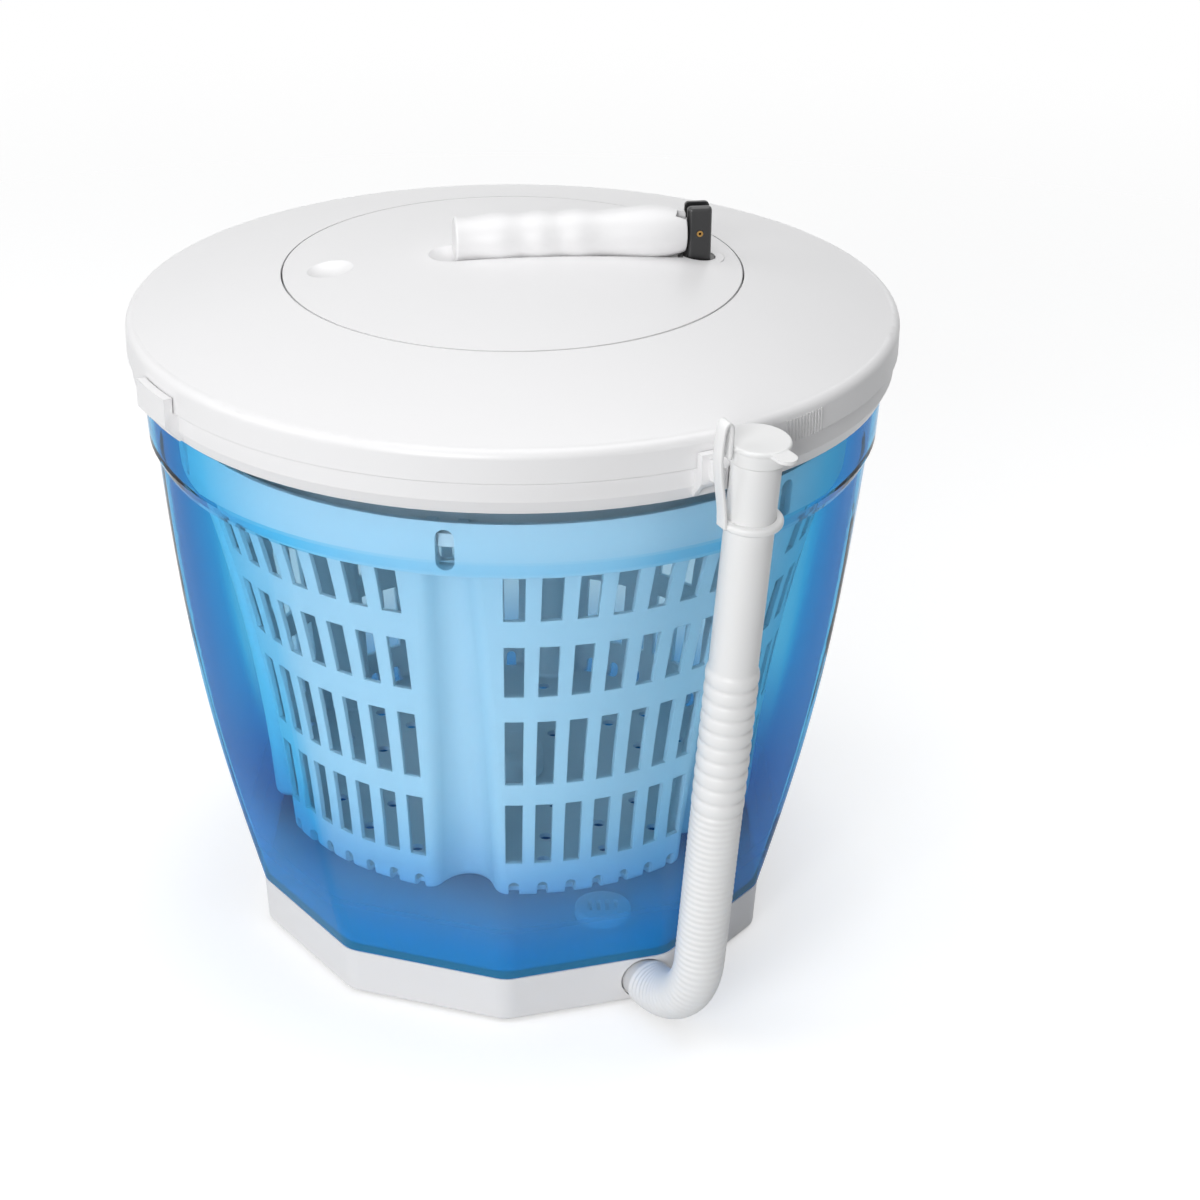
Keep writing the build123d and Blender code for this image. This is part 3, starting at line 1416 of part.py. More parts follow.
def hose_section(distance, radius):
    """Round section across the hose at a distance along its route."""
    place = route.position_at(distance, position_mode=PositionMode.LENGTH)
    heading = route.tangent_at(distance, position_mode=PositionMode.LENGTH)
    with BuildSketch(Plane(place, x_dir=spout_plane.z_dir, z_dir=heading)) as section:
        Circle(radius)
    return section.sketch


def rib_sections(start, count, pitch, valley, crest):
    """Four sections for each rib: valley, rise to the crest, end of the crest, fall to the valley."""
    sections = []
    for i in range(count):
        foot = start + pitch * i
        sections.append(hose_section(foot, valley))
        sections.append(hose_section(foot + rib_rise_share * pitch, crest))
        sections.append(hose_section(foot + rib_crest_share * pitch, crest))
        sections.append(hose_section(foot + rib_fall_share * pitch, valley))
    return sections


# Bellows hose: plain cuff through the base, fine ribs round the bend, then coarse ribs
fine_start = cuff_length
coarse_start = fine_start + fine_rib_count * fine_rib_pitch
bellows_length = coarse_start + coarse_rib_count * coarse_rib_pitch
bellows_sections = [hose_section(0, cuff_radius), hose_section(cuff_length - rib_rise_share, cuff_radius)]
bellows_sections += rib_sections(fine_start, fine_rib_count, fine_rib_pitch, fine_rib_valley, fine_rib_radius)
bellows_sections += rib_sections(
    coarse_start, coarse_rib_count, coarse_rib_pitch, coarse_rib_valley, coarse_rib_radius)
bellows_sections.append(hose_section(bellows_length, coarse_rib_valley))
with BuildPart() as hose_bellows:
    loft(sections=bellows_sections, ruled=True)
    with BuildSketch(Plane(route @ 0, x_dir=spout_plane.z_dir, z_dir=route % 0)):
        Circle(hose_bore)
    sweep(path=route, mode=Mode.SUBTRACT)
finish(hose_bellows, "hose_bellows")

# Smooth upper tube of the hose
tube_start = route.position_at(bellows_length, position_mode=PositionMode.LENGTH)
tube_foot = Plane(tube_start, x_dir=spout_plane.z_dir, z_dir=tube_up)
with BuildPart() as hose_tube:
    with BuildSketch(tube_foot):
        Circle(tube_radius)
        Circle(hose_bore, mode=Mode.SUBTRACT)
    extrude(amount=tube_length)
finish(hose_tube, "hose_tube")

# Cap on the hose end, with its finger tab
mouth = tube_foot.offset(tube_length)
left = Vector(*polar(1, hose_angle - 90), 0)
with BuildPart() as hose_cap:
    with BuildSketch(mouth):
        Circle(cap_radius)
    extrude(amount=cap_disc)
    fillet(hose_cap.edges().sort_by(Axis(mouth.origin, mouth.z_dir))[-1], radius=cap_disc / 2)
    with BuildSketch(mouth.offset(-cap_skirt)):
        Circle(tube_radius + cap_slack + cap_wall)
        Circle(tube_radius + cap_slack, mode=Mode.SUBTRACT)
    extrude(amount=cap_skirt)
    tab_plane = Plane(mouth.origin, x_dir=left.rotate(Axis((0, 0, 0), tube_up), cap_tab_angle),
                      z_dir=tube_up)
    with BuildSketch(tab_plane):
        Rectangle(cap_tab_reach - cap_tab_width / 2, cap_tab_width, align=(Align.MIN, Align.CENTER))
        with Locations((cap_tab_reach - cap_tab_width / 2, 0)):
            Circle(cap_tab_width / 2)
        Circle(tube_radius, mode=Mode.SUBTRACT)
    extrude(amount=cap_tab_thickness)
finish(hose_cap, "hose_cap")

# Ring round the tube and the strap that ties the cap to it
strap_plane = Plane(mouth.origin, x_dir=left, z_dir=left.cross(tube_up))
with BuildPart() as cap_ring:
    with BuildSketch(mouth.offset(-ring_drop)):
        Circle(ring_radius)
        Circle(tube_radius + push_fit, mode=Mode.SUBTRACT)
    extrude(amount=ring_height)
    fillet(cap_ring.edges().filter_by(GeomType.CIRCLE).sort_by(SortBy.RADIUS)[-2:], radius=ring_round)
finish(cap_ring, "cap_ring")

ring_side = ring_radius + strap_gap + strap_thickness / 2
cap_side = cap_radius + strap_gap + strap_thickness / 2
ring_middle = ring_height / 2 - ring_drop
with BuildPart() as cap_strap:
    with BuildSketch(strap_plane):
        with BuildLine():
            FilletPolyline(
                (ring_side, ring_middle - ring_height / 4),
                (ring_side, ring_middle + ring_height),
                (strap_bulge, -cap_skirt),
                (strap_bulge, strap_loop_top),
                (cap_side, strap_loop_top),
                (cap_side, -cap_skirt / 2),
                radius=(strap_bulge - cap_side) * 0.45,
            )
        trace(line_width=strap_thickness)
    extrude(amount=strap_width / 2, both=True)
finish(cap_strap, "cap_strap")
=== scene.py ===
"""Looks of a hand-crank washing machine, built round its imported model."""

import logging
import math
from dataclasses import dataclass, field
from enum import Enum
from typing import Any, Callable

import bmesh
import bpy
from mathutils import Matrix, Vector


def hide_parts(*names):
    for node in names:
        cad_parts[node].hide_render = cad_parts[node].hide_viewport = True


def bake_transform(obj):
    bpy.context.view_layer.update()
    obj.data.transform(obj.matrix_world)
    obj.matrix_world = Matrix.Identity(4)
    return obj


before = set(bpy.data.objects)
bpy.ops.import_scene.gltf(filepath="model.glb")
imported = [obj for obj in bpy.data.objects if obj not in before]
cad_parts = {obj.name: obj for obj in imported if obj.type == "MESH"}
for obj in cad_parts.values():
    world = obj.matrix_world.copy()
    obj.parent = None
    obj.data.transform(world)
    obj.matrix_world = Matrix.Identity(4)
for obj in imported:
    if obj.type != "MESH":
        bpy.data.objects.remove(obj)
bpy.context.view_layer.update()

logging.basicConfig(level=logging.INFO, format="%(message)s")
LOG = logging.getLogger("washer")

Colour = tuple[float, float, float]


class Grain(Enum):
    """How a surface's fine relief runs."""

    SPARK = "spark"
    FLOW = "flow"
    BRUSHED = "brushed"


@dataclass
class Graph:
    """A material's node graph, with short calls to add and join nodes."""

    name: str
    material: bpy.types.Material = field(init=False)

    def __post_init__(self) -> None:
        """Start the material with an empty graph."""
        self.material = bpy.data.materials.new(self.name)
        self.material.use_nodes = True
        self.material.node_tree.nodes.clear()

    def add(self, kind: str, **settings: Any) -> bpy.types.Node:
        """Add a node and set its properties.

        Args:
            kind: Node class name without its ShaderNode prefix.
            settings: Node properties by name.

        Returns:
            The new node.
        """
        node = self.material.node_tree.nodes.new("ShaderNode" + kind)
        for key, value in settings.items():
            setattr(node, key, value)
        return node

    def feed(self, node: bpy.types.Node, **inputs: Any) -> bpy.types.Node:
        """Set or link a node's inputs.

        Args:
            node: Node to feed.
            inputs: Values or output sockets by input name, with underscores for spaces.

        Returns:
            The same node.
        """
        for key, value in inputs.items():
            socket = node.inputs[key.replace("_", " ")]
            if isinstance(value, bpy.types.NodeSocket):
                self.material.node_tree.links.new(value, socket)
            else:
                socket.default_value = value
        return node

    def place(self, stretch: Colour = (1.0, 1.0, 1.0)) -> bpy.types.NodeSocket:
        """Object coordinates, stretched along each axis.

        Args:
            stretch: Scale of the pattern along X, Y and Z.

        Returns:
            The vector socket.
        """
        coordinates = self.add("TexCoord")
        mapping = self.add("Mapping")
        self.feed(mapping, Vector=coordinates.outputs["Object"], Scale=stretch)
        return mapping.outputs["Vector"]

    def noise(self, scale: float, detail: float, stretch: Colour = (1.0, 1.0, 1.0)) -> bpy.types.NodeSocket:
        """Noise over the piece.

        Args:
            scale: Pattern scale per metre.
            detail: Octaves of finer noise.
            stretch: Scale along each axis.

        Returns:
            The noise value socket.
        """
        texture = self.add("TexNoise")
        self.feed(texture, Vector=self.place(stretch), Scale=scale, Detail=detail, Roughness=0.55)
        return texture.outputs["Fac"]

    def spread(self, value: bpy.types.NodeSocket, low: float, high: float) -> bpy.types.NodeSocket:
        """Map a 0 to 1 value onto a range.

        Args:
            value: Socket to map.
            low: Value at 0.
            high: Value at 1.

        Returns:
            The mapped socket.
        """
        node = self.add("MapRange")
        self.feed(node, Value=value)
        node.inputs["To Min"].default_value = low
        node.inputs["To Max"].default_value = high
        return node.outputs["Result"]

    def blend(self, factor: bpy.types.NodeSocket, first: Colour, second: Colour) -> bpy.types.NodeSocket:
        """Mix two colours by a factor.

        Args:
            factor: Socket from 0 to 1.
            first: Colour at 0.
            second: Colour at 1.

        Returns:
            The colour socket.
        """
        return self.ramp(factor, (0.0, first), (1.0, second))

    def ramp(self, factor: bpy.types.NodeSocket, *stops: tuple[float, Colour]) -> bpy.types.NodeSocket:
        """Run through colours by a factor.

        Args:
            factor: Socket from 0 to 1.
            stops: Places along the ramp and their colours, in order.

        Returns:
            The colour socket.
        """
        node = self.add("ValToRGB")
        elements = node.color_ramp.elements
        first, *middle, last = stops
        for element, (place, colour) in ((elements[0], first), (elements[1], last)):
            element.position = place
            element.color = (*colour, 1.0)
        for place, colour in middle:
            elements.new(place).color = (*colour, 1.0)
        self.feed(node, Fac=factor)
        return node.outputs["Color"]

    def close(self, shader: bpy.types.NodeSocket) -> bpy.types.Material:
        """Join the shader to the output.

        Args:
            shader: Surface shader socket.

        Returns:
            The finished material.
        """
        self.feed(self.add("OutputMaterial"), Surface=shader)
        return self.material


@dataclass(frozen=True)
class Moulded:
    """Moulded plastic or rubber: a colour with slight drift, fine relief and softened edges."""

    name: str
    colour: Colour
    drift: Colour
    roughness: float
    roughness_drift: float = 0.05
    grain: Grain = Grain.SPARK
    grain_scale: float = 240.0
    grain_depth: float = 0.00001
    edge: float = 0.0006
    coat: float = 0.0
    glow_depth: float = 0.0

    def relief(self, graph: Graph) -> bpy.types.NodeSocket:
        """Normal with softened edges and fine relief.

        Args:
            graph: Graph to add the nodes to.

        Returns:
            The normal socket.
        """
        stretch = {
            Grain.SPARK: (1.0, 1.0, 1.0),
            Grain.FLOW: (1.0, 1.0, 0.25),
            Grain.BRUSHED: (1.0, 1.0, 0.05),
        }[self.grain]
        bevel = graph.add("Bevel", samples=4)
        graph.feed(bevel, Radius=self.edge)
        bump = graph.add("Bump")
        graph.feed(bump, Strength=0.6, Distance=self.grain_depth,
                   Height=graph.noise(self.grain_scale, 2.0, stretch), Normal=bevel.outputs["Normal"])
        return bump.outputs["Normal"]

    def make(self) -> bpy.types.Material:
        """Build the material."""
        graph = Graph(self.name)
        shader = graph.add("BsdfPrincipled")
        graph.feed(
            shader,
            Base_Color=graph.blend(graph.noise(9.0, 4.0), self.colour, self.drift),
            Roughness=graph.spread(graph.noise(60.0, 3.0), self.roughness - self.roughness_drift,
                                   self.roughness + self.roughness_drift),
            Normal=self.relief(graph),
            Coat_Weight=self.coat,
            Coat_Roughness=0.08,
        )
        if self.glow_depth > 0:
            graph.feed(shader, Subsurface_Weight=0.25, Subsurface_Scale=self.glow_depth,
                       Subsurface_Radius=(0.8, 1.0, 1.0))
        return graph.close(shader.outputs["BSDF"])


@dataclass(frozen=True)
class ClearTint:
    """Clear tinted plastic: pale where it is looked at squarely, deep at its edges and towards its foot."""

    name: str
    pale: Colour
    deep: Colour
    edge: Colour
    milky: Colour
    shade: Colour
    roughness: float
    milky_below: float
    clear_above: float
    milk: float
    gloss: float = 0.2
    rim_start: float = 0.22
    rim_end: float = 0.9
    deep_share: float = 0.5
    edge_share: float = 0.95
    ior: float = 1.03
    coat_roughness: float = 0.04
    ripple_scale: float = 14.0
    ripple_depth: float = 0.0006

    def foot(self, graph: Graph) -> bpy.types.NodeSocket:
        """Share of the milky foot at each height, 1 at the bottom and 0 in the clear wall.

        Args:
            graph: Graph to add the nodes to.

        Returns:
            The value socket.
        """
        split = graph.add("SeparateXYZ")
        graph.feed(split, Vector=graph.place())
        foot = graph.add("MapRange", interpolation_type="SMOOTHSTEP")
        graph.feed(foot, Value=split.outputs["Z"])
        foot.inputs["From Min"].default_value = self.clear_above
        foot.inputs["From Max"].default_value = self.milky_below
        return foot.outputs["Result"]

    def tint(self, graph: Graph, foot: bpy.types.NodeSocket) -> bpy.types.NodeSocket:
        """Tint of the wall, deeper at the edges and milky at the foot.

        Args:
            graph: Graph to add the nodes to.
            foot: Share of the milky foot.

        Returns:
            The colour socket.
        """
        slant = graph.add("LayerWeight")
        graph.feed(slant, Blend=0.5)
        rim = graph.add("MapRange", interpolation_type="SMOOTHSTEP")
        graph.feed(rim, Value=slant.outputs["Facing"])
        rim.inputs["From Min"].default_value = self.rim_start
        rim.inputs["From Max"].default_value = self.rim_end
        drift = graph.add("Math", operation="ADD", use_clamp=True)
        graph.feed(drift, Value=rim.outputs["Result"])
        graph.material.node_tree.links.new(graph.spread(graph.noise(7.0, 2.0), -0.05, 0.05), drift.inputs[1])
        wall = graph.ramp(drift.outputs["Value"], (0.0, self.pale), (self.deep_share, self.deep),
                          (self.edge_share, self.edge))
        mix = graph.add("Mix", data_type="RGBA")
        graph.material.node_tree.links.new(foot, mix.inputs["Factor"])
        graph.material.node_tree.links.new(wall, mix.inputs[6])
        mix.inputs[7].default_value = (*self.milky, 1.0)
        return mix.outputs[2]

    def make(self) -> bpy.types.Material:
        """Build the material, with lamps let straight through to what stands behind it."""
        graph = Graph(self.name)
        foot = self.foot(graph)
        bump = graph.add("Bump")
        graph.feed(bump, Strength=0.25, Distance=self.ripple_depth,
                   Height=graph.noise(self.ripple_scale, 1.0, (1.0, 1.0, 0.35)))
        shader = graph.add("BsdfPrincipled")
        graph.feed(
            shader,
            Base_Color=self.tint(graph, foot),
            Roughness=graph.spread(graph.noise(40.0, 2.0), self.roughness * 0.6, self.roughness * 1.4),
            Transmission_Weight=graph.spread(foot, 1.0, 1.0 - self.milk),
            IOR=self.ior,
            Coat_Weight=graph.spread(graph.add("NewGeometry").outputs["Backfacing"], self.gloss, 0.0),
            Coat_Roughness=self.coat_roughness,
            Normal=bump.outputs["Normal"],
        )
        through = graph.add("BsdfTransparent")
        graph.feed(through, Color=(*self.shade, 1.0))
        path = graph.add("LightPath")
        mix = graph.add("MixShader")
        graph.feed(mix, Fac=path.outputs["Is Shadow Ray"])
        graph.material.node_tree.links.new(shader.outputs["BSDF"], mix.inputs[1])
        graph.material.node_tree.links.new(through.outputs["BSDF"], mix.inputs[2])
        return graph.close(mix.outputs["Shader"])


@dataclass(frozen=True)
class Metal:
    """Bare or plated metal with fine turning marks."""

    name: str
    colour: Colour
    drift: Colour
    roughness: float

    def make(self) -> bpy.types.Material:
        """Build the material."""
        graph = Graph(self.name)
        marks = graph.noise(900.0, 3.0, (1.0, 1.0, 0.08))
        bump = graph.add("Bump")
        graph.feed(bump, Strength=0.4, Distance=0.00003, Height=marks)
        shader = graph.add("BsdfPrincipled")
        graph.feed(
            shader,
            Base_Color=graph.blend(graph.noise(120.0, 3.0), self.colour, self.drift),
            Metallic=1.0,
            Roughness=graph.spread(marks, self.roughness - 0.08, self.roughness + 0.1),
            Normal=bump.outputs["Normal"],
        )
        return graph.close(shader.outputs["BSDF"])


SHELL_WHITE = Moulded("shell_white", (0.85, 0.845, 0.85), (0.875, 0.87, 0.875), 0.4, coat=0.1)
INNER_WHITE = Moulded("inner_white", (0.76, 0.77, 0.78), (0.8, 0.81, 0.82), 0.45)
HOSE_WHITE = Moulded("hose_white", (0.87, 0.87, 0.87), (0.89, 0.89, 0.885), 0.42, grain=Grain.FLOW,
                     grain_scale=700.0)
BASKET_BLUE = Moulded("basket_pale_blue", (0.63, 0.76, 0.83), (0.66, 0.78, 0.85), 0.37, glow_depth=0.004)
GEAR_CREAM = Moulded("gear_cream", (0.74, 0.72, 0.64), (0.78, 0.76, 0.69), 0.4, edge=0.0002)
KNUCKLE_BLACK = Moulded("knuckle_black", (0.012, 0.012, 0.013), (0.02, 0.02, 0.021), 0.36, coat=0.2)
PAD_RUBBER = Moulded("pad_rubber", (0.06, 0.06, 0.062), (0.09, 0.09, 0.092), 0.75, grain_depth=0.0001)
TUB_BLUE = ClearTint("tub_clear_blue", (0.56, 0.71, 0.8), (0.1, 0.53, 0.77), (0.02, 0.3, 0.6),
                     (0.05, 0.42, 0.82), (0.62, 0.54, 0.52), 0.03, 0.03, 0.11, 0.4)
STEEL = Metal("plated_steel", (0.58, 0.58, 0.6), (0.66, 0.66, 0.67), 0.38)
BRASS = Metal("rivet_brass", (0.36, 0.2, 0.06), (0.46, 0.28, 0.1), 0.42)


@dataclass
class Wardrobe:
    """The finishes, each made once, and the calls that dress pieces in them."""

    made: dict[str, bpy.types.Material] = field(default_factory=dict)

    def cloth(self, finish: Moulded | ClearTint | Metal) -> bpy.types.Material:
        """The material of a finish, made on first use."""
        if finish.name not in self.made:
            self.made[finish.name] = finish.make()
        return self.made[finish.name]

    def dress(self, finish: Moulded | ClearTint | Metal, *nodes: str) -> None:
        """Give model nodes a finish.

        Args:
            finish: Finish to wear.
            nodes: Names of the model's nodes.
        """
        for name in nodes:
            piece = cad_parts[name]
            piece.data.materials.clear()
            piece.data.materials.append(self.cloth(finish))
            LOG.info("dressed %s in %s", name, finish.name)

    def finish_piece(self, piece: bpy.types.Object, finish: Moulded | ClearTint | Metal) -> None:
        """Give a new piece a finish."""
        piece.data.materials.clear()
        piece.data.materials.append(self.cloth(finish))
        LOG.info("made %s in %s", piece.name, finish.name)


def new_piece(name: str, mesh: bmesh.types.BMesh) -> bpy.types.Object:
    """Turn a finished bmesh into a smooth-shaded object at the origin.

    Args:
        name: Piece name.
        mesh: The bmesh, which is freed.

    Returns:
        The new object.
    """
    bmesh.ops.recalc_face_normals(mesh, faces=mesh.faces)
    data = bpy.data.meshes.new(name)
    mesh.to_mesh(data)
    mesh.free()
    for polygon in data.polygons:
        polygon.use_smooth = True
    piece = bpy.data.objects.new(name, data)
    bpy.context.scene.collection.objects.link(piece)
    return piece


@dataclass
class Studio:
    """Plain pale floor, soft light and the camera of the photograph."""

    camera_place: Colour = (0.0, -1.1955, 0.7392)
    target: Colour = (0.0, 0.0, 0.1544)
    lens: float = 85.0
    shift: float = 0.0729
    ambient: float = 0.12
    floor_radius: float = 2.0
    floor_fade: tuple[float, float] = (0.6, 1.6)
    # White lift of the floor, from fully occluded to open floor; its lower end paints a contact shadow round
    # the machine.
    floor_lift_and_painted_shadow: tuple[float, float] = (0.42, 0.61)
    painted_shadow_reach: float = 0.07

    def camera(self) -> None:
        """Set the camera at the photograph's view."""
        data = bpy.data.cameras.new("camera")
        data.lens = self.lens
        data.sensor_width = 36.0
        data.shift_x = self.shift
        data.clip_start = 0.01
        data.clip_end = 50.0
        camera = bpy.data.objects.new("camera", data)
        camera.location = self.camera_place
        aim = Vector(self.target) - Vector(self.camera_place)
        camera.rotation_euler = aim.to_track_quat("-Z", "Y").to_euler()
        bpy.context.scene.collection.objects.link(camera)
        bpy.context.scene.camera = camera

    def lamp(self, name: str, place: Colour, size: float, power: float) -> None:
        """Hang one square soft lamp that faces the machine.

        Args:
            name: Lamp name.
            place: Where it hangs.
            size: Side of the lamp in metres.
            power: Power in watts.
        """
        data = bpy.data.lights.new(name, "AREA")
        data.size = size
        data.energy = power
        lamp = bpy.data.objects.new(name, data)
        lamp.location = place
        aim = Vector((0.0, 0.0, 0.15)) - Vector(place)
        lamp.rotation_euler = aim.to_track_quat("-Z", "Y").to_euler()
        bpy.context.scene.collection.objects.link(lamp)

    def world(self) -> None:
        """White to the eye and in reflections, dimmer as a light."""
        world = bpy.data.worlds.new("surround")
        bpy.context.scene.world = world
        world.use_nodes = True
        nodes, links = world.node_tree.nodes, world.node_tree.links
        nodes.clear()
        path = nodes.new("ShaderNodeLightPath")
        seen = nodes.new("ShaderNodeMath")
        seen.operation = "MAXIMUM"
        links.new(path.outputs["Is Camera Ray"], seen.inputs[0])
        links.new(path.outputs["Is Glossy Ray"], seen.inputs[1])
        either = nodes.new("ShaderNodeMath")
        either.operation = "MAXIMUM"
        links.new(seen.outputs[0], either.inputs[0])
        links.new(path.outputs["Is Transmission Ray"], either.inputs[1])
        light = nodes.new("ShaderNodeBackground")
        light.inputs["Color"].default_value = (0.93, 0.96, 1.0, 1.0)
        light.inputs["Strength"].default_value = self.ambient
        white = nodes.new("ShaderNodeBackground")
        white.inputs["Color"].default_value = (1.0, 1.0, 1.0, 1.0)
        white.inputs["Strength"].default_value = 1.0
        mix = nodes.new("ShaderNodeMixShader")
        links.new(either.outputs[0], mix.inputs[0])
        links.new(light.outputs[0], mix.inputs[1])
        links.new(white.outputs[0], mix.inputs[2])
        output = nodes.new("ShaderNodeOutputWorld")
        links.new(mix.outputs[0], output.inputs["Surface"])

    def floor(self) -> None:
        """Lay a pale floor that keeps the machine's shadow, with a painted contact shadow where ambient
        occlusion dims its white lift next to the machine.
        """
        mesh = bmesh.new()
        bmesh.ops.create_circle(mesh, cap_ends=True, segments=64, radius=self.floor_radius)
        floor = new_piece("floor", mesh)
        graph = Graph("floor_pale")
        join = graph.material.node_tree.links.new
        matt = graph.add("BsdfDiffuse")
        graph.feed(matt, Color=graph.blend(graph.noise(2.0, 2.0), (0.62, 0.62, 0.62), (0.65, 0.65, 0.65)))
        path = graph.add("LightPath")
        lift = graph.add("Emission")
        seen = graph.add("Math", operation="MAXIMUM")
        join(path.outputs["Is Camera Ray"], seen.inputs[0])
        join(path.outputs["Is Glossy Ray"], seen.inputs[1])
        either = graph.add("Math", operation="MAXIMUM")
        join(seen.outputs["Value"], either.inputs[0])
        join(path.outputs["Is Transmission Ray"], either.inputs[1])
        # Painted contact shadow: ambient occlusion within this reach dims the floor's white lift near the
        # machine.
        painted_shadow_ao = graph.add("AmbientOcclusion", samples=8)
        graph.feed(painted_shadow_ao, Distance=self.painted_shadow_reach)
        glow = graph.add("Math", operation="MULTIPLY")
        join(graph.spread(painted_shadow_ao.outputs["AO"], *self.floor_lift_and_painted_shadow), glow.inputs[0])
        join(either.outputs["Value"], glow.inputs[1])
        graph.feed(lift, Strength=glow.outputs["Value"])
        both = graph.add("AddShader")
        join(matt.outputs["BSDF"], both.inputs[0])
        join(lift.outputs["Emission"], both.inputs[1])
        reach = graph.add("VectorMath", operation="LENGTH")
        join(graph.place(), reach.inputs[0])
        fade = graph.add("MapRange", interpolation_type="SMOOTHSTEP")
        graph.feed(fade, Value=reach.outputs["Value"])
        fade.inputs["From Min"].default_value = self.floor_fade[0]
        fade.inputs["From Max"].default_value = self.floor_fade[1]
        mix = graph.add("MixShader")
        join(fade.outputs["Result"], mix.inputs[0])
        join(both.outputs["Shader"], mix.inputs[1])
        join(graph.add("BsdfTransparent").outputs["BSDF"], mix.inputs[2])
        floor.data.materials.append(graph.close(mix.outputs["Shader"]))

    def build(self) -> None:
        """Set up floor, light and camera."""
        scene = bpy.context.scene
        scene.view_settings.view_transform = "Standard"
        self.camera()
        self.world()
        self.floor()
        self.lamp("front_box", (-0.7, -2.1, 0.95), 1.0, 30.0)
        self.lamp("left_box", (-1.7, -0.4, 1.2), 1.2, 10.0)
        self.lamp("top_box", (0.2, 0.1, 2.1), 1.8, 22.0)
        LOG.info("studio ready")


@dataclass
class DrainHose:
    """Ribbed drain hose: a plain cuff, fine ribs round the bend, beads, then a smooth mouth."""

    angle: float = -60.0
    start: float = 0.104
    corner: float = 0.1609
    height: float = 0.0126
    bend: float = 0.040
    lean: float = 6.4
    cuff_length: float = 0.0198
    cuff_radius: float = 0.0100
    fine_count: int = 46
    fine_pitch: float = 0.0031
    fine_radius: float = 0.0112
    fine_valley: float = 0.0108
    bead_count: int = 10
    bead_pitch: float = 0.0071
    bead_radius: float = 0.0114
    bead_valley: float = 0.0103
    tube_radius: float = 0.01035
    tube_length: float = 0.1048
    bore: float = 0.0086
    lip: float = 0.0004
    mouth_lip: float = 0.0005
    mouth_length: float = 0.02
    tube_blend: float = 0.0008
    fine_steps: int = 6
    bead_steps: int = 8
    bore_steps: int = 40
    sides: int = 48

    @property
    def out(self) -> Vector:
        """Direction straight out of the base."""
        return Vector((math.cos(math.radians(self.angle)), math.sin(math.radians(self.angle)), 0.0))

    @property
    def up(self) -> Vector:
        """Direction of the leaning upper run."""
        tilt = math.radians(self.lean)
        return self.out * math.sin(tilt) + Vector((0.0, 0.0, 1.0)) * math.cos(tilt)

    @property
    def left(self) -> Vector:
        """Direction sideways from the hose, to the side that the strap is on."""
        side = math.radians(self.angle - 90)
        return Vector((math.cos(side), math.sin(side), 0.0))

    @property
    def length(self) -> float:
        """Whole length of the hose."""
        ribs = self.fine_count * self.fine_pitch + self.bead_count * self.bead_pitch
        return self.cuff_length + ribs + self.tube_length

    def frame_at(self, distance: float) -> tuple[Vector, Vector]:
        """Place on the centre line and its heading.

        Args:
            distance: Distance from the hose's start.

        Returns:
            The point and the unit heading.
        """
        turn = math.radians(90.0 - self.lean)
        reach = self.bend * math.tan(turn / 2)
        foot = self.out * self.start + Vector((0.0, 0.0, self.height))
        straight = self.corner - reach - self.start
        if distance <= straight:
            return foot + self.out * distance, self.out
        arc = distance - straight
        sky = Vector((0.0, 0.0, 1.0))
        centre = foot + self.out * straight + sky * self.bend
        swept = min(arc / self.bend, turn)
        place = centre + (self.out * math.sin(swept) - sky * math.cos(swept)) * self.bend
        heading = self.out * math.cos(swept) + sky * math.sin(swept)
        return place + heading * max(0.0, arc - turn * self.bend), heading

    def profile(self) -> list[tuple[float, float]]:
        """Outline of the hose: distance along it and radius, out along the outside and back down the bore."""
        points = [(0.0, self.cuff_radius - self.lip), (self.lip, self.cuff_radius)]
        points.append((self.cuff_length - self.lip, self.cuff_radius))
        place = self.cuff_length
        for _ in range(self.fine_count):
            for step in range(self.fine_steps):
                swell = 0.5 - 0.5 * math.cos(2 * math.pi * step / self.fine_steps)
                points.append((place + self.fine_pitch * step / self.fine_steps,
                               self.fine_valley + (self.fine_radius - self.fine_valley) * swell))
            place += self.fine_pitch
        for _ in range(self.bead_count):
            for step in range(self.bead_steps):
                across = 2 * step / self.bead_steps - 1
                swell = math.sqrt(max(0.0, 1 - across * across))
                points.append((place + self.bead_pitch * step / self.bead_steps,
                               self.bead_valley + (self.bead_radius - self.bead_valley) * swell))
            place += self.bead_pitch
        points.append((place, self.bead_valley))
        end = self.length
        points += [(place + self.tube_blend, self.tube_radius), (end - self.mouth_length, self.tube_radius)]
        points += [(end - self.mouth_lip, self.tube_radius), (end, self.tube_radius - self.mouth_lip)]
        points += [(end, self.bore + self.lip), (end - self.lip, self.bore)]
        for step in range(1, self.bore_steps):
            points.append((end * (1 - step / self.bore_steps), self.bore))
        points += [(self.lip, self.bore), (0.0, self.bore + self.lip)]
        return points

    def build(self, wardrobe: Wardrobe) -> None:
        """Spin the outline into a straight tube, bend it along the route and hang it on the machine.

        Args:
            wardrobe: Finishes to dress it in.
        """
        mesh = bmesh.new()
        chain = [mesh.verts.new((radius, 0.0, along)) for along, radius in self.profile()]
        for first, second in zip(chain, chain[1:] + chain[:1]):
            mesh.edges.new((first, second))
        bmesh.ops.spin(mesh, geom=mesh.verts[:] + mesh.edges[:], cent=(0, 0, 0), axis=(0, 0, 1),
                       angle=2 * math.pi, steps=self.sides, use_merge=True)
        bmesh.ops.remove_doubles(mesh, verts=mesh.verts, dist=1e-6)
        side = self.out.cross(Vector((0.0, 0.0, 1.0)))
        for vertex in mesh.verts:
            place, heading = self.frame_at(vertex.co.z)
            across = side.cross(heading)
            vertex.co = place + side * vertex.co.x + across * vertex.co.y
        hose = new_piece("drain_hose", mesh)
        wardrobe.finish_piece(hose, HOSE_WHITE)
        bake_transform(hose)
        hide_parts("hose_bellows", "hose_tube")


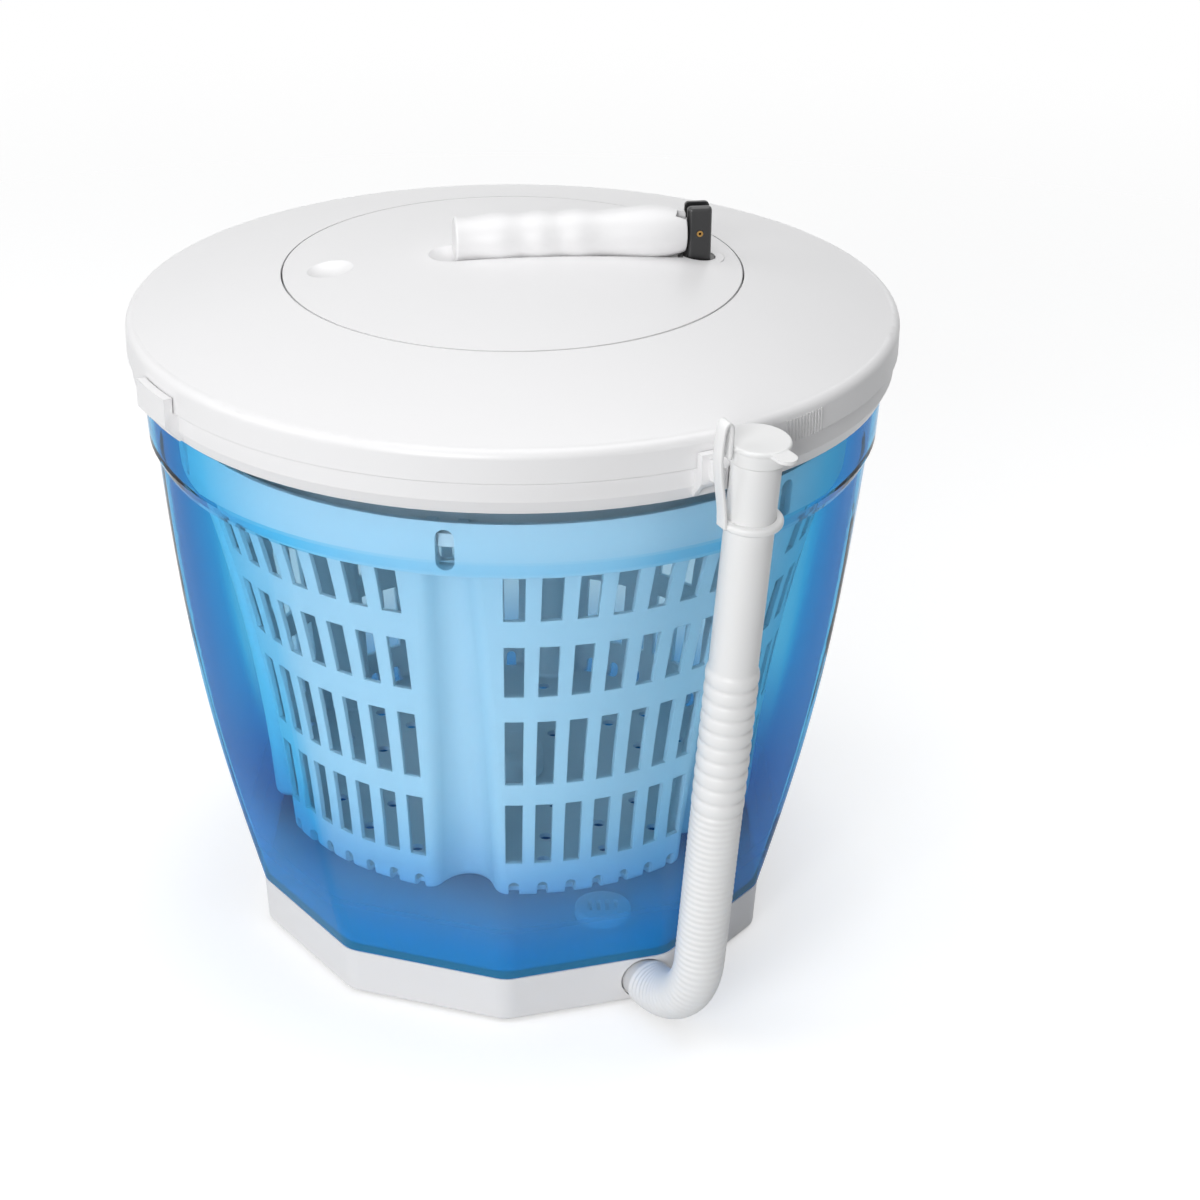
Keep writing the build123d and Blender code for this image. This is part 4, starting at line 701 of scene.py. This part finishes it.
@dataclass
class CapStrap:
    """Flat strap that loops from the hose ring over to the cap."""

    hose: DrainHose
    width: float = 0.006
    thickness: float = 0.0015
    points: tuple[tuple[float, float], ...] = (
        (0.0144, -0.0351), (0.0144, -0.0309), (0.0170, -0.0180), (0.0195, -0.0060), (0.0197, 0.0030),
        (0.0193, 0.0125), (0.0167, 0.0142), (0.0142, 0.0118), (0.0141, 0.0040), (0.0141, -0.0030),
    )

    def line(self) -> list[Vector]:
        """Smooth centre line of the strap, read from a curve through its points."""
        mouth, heading = self.hose.frame_at(self.hose.length)
        left = self.hose.left
        data = bpy.data.curves.new("strap_line", "CURVE")
        data.dimensions = "3D"
        spline = data.splines.new("NURBS")
        spline.points.add(len(self.points) - 1)
        for point, (across, along) in zip(spline.points, self.points):
            point.co = (*(mouth + left * across + heading * along), 1.0)
        spline.order_u = 3
        spline.use_endpoint_u = True
        spline.resolution_u = 6
        holder = bpy.data.objects.new("strap_line", data)
        bpy.context.scene.collection.objects.link(holder)
        bpy.context.view_layer.update()
        traced = bpy.data.meshes.new_from_object(holder)
        line = [vertex.co.copy() for vertex in traced.vertices]
        bpy.data.objects.remove(holder)
        bpy.data.meshes.remove(traced)
        bpy.data.curves.remove(data)
        return line

    def build(self, wardrobe: Wardrobe) -> None:
        """Extrude the line into a ribbon, thicken it, round its edges and tie it between ring and cap.

        Args:
            wardrobe: Finishes to dress it in.
        """
        line = self.line()
        mouth, heading = self.hose.frame_at(self.hose.length)
        left = self.hose.left
        across = left.cross(heading).normalized()
        mesh = bmesh.new()
        chain = [mesh.verts.new(point - across * self.width / 2) for point in line]
        edges = [mesh.edges.new(pair) for pair in zip(chain, chain[1:])]
        pulled = bmesh.ops.extrude_edge_only(mesh, edges=edges)["geom"]
        bmesh.ops.translate(mesh, vec=across * self.width,
                            verts=[part for part in pulled if isinstance(part, bmesh.types.BMVert)])
        bmesh.ops.recalc_face_normals(mesh, faces=mesh.faces)
        bmesh.ops.solidify(mesh, geom=mesh.faces[:], thickness=self.thickness)
        rims = [edge for edge in mesh.edges if edge.is_manifold and edge.calc_face_angle() > 1.0]
        bmesh.ops.bevel(mesh, geom=rims, offset=0.0004, affect="EDGES", segments=2, profile=0.5, material=-1)
        strap = new_piece("cap_strap_band", mesh)
        wardrobe.finish_piece(strap, HOSE_WHITE)
        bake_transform(strap)
        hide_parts("cap_strap")


@dataclass
class Machine:
    """The machine's own nodes, dressed group by group."""

    wardrobe: Wardrobe

    def dress(self) -> None:
        """Give every node of the model its finish."""
        wear: Callable[..., None] = self.wardrobe.dress
        wear(TUB_BLUE, "tub")
        wear(BASKET_BLUE, "basket")
        wear(SHELL_WHITE, "tub_collar", "base_shell", "lid", "crank_disc", "grip", "grip_cap")
        wear(INNER_WHITE, "base_plate", "drain_spout", "drain_strainer", "gear_plate", "drive_plate")
        wear(HOSE_WHITE, "hose_bellows", "hose_tube", "cap_ring", "cap_strap", "hose_cap")
        wear(GEAR_CREAM, "thrust_washer", "basket_bush", "drive_bush", "planet_gear_1", "planet_gear_2",
             "planet_gear_3", "sun_gear", "ring_gear")
        wear(KNUCKLE_BLACK, "handle_bush", "handle_knuckle")
        wear(PAD_RUBBER, "foot_pads", "pivot_seal", "drain_gasket", "lid_seal")
        wear(STEEL, "base_screws", "pivot_pin", "pivot_nut", "gear_plate_screws", "planet_axles",
             "planet_clips", "drive_screws", "ring_gear_screws", "crank_spindle", "spindle_clip",
             "knuckle_retainer")
        wear(BRASS, "hinge_pin")


def main() -> None:
    """Build the studio, dress the machine and make its soft pieces."""
    wardrobe = Wardrobe()
    Studio().build()
    Machine(wardrobe).dress()
    hose = DrainHose()
    hose.build(wardrobe)
    CapStrap(hose).build(wardrobe)


if __name__ == "__main__":
    main()
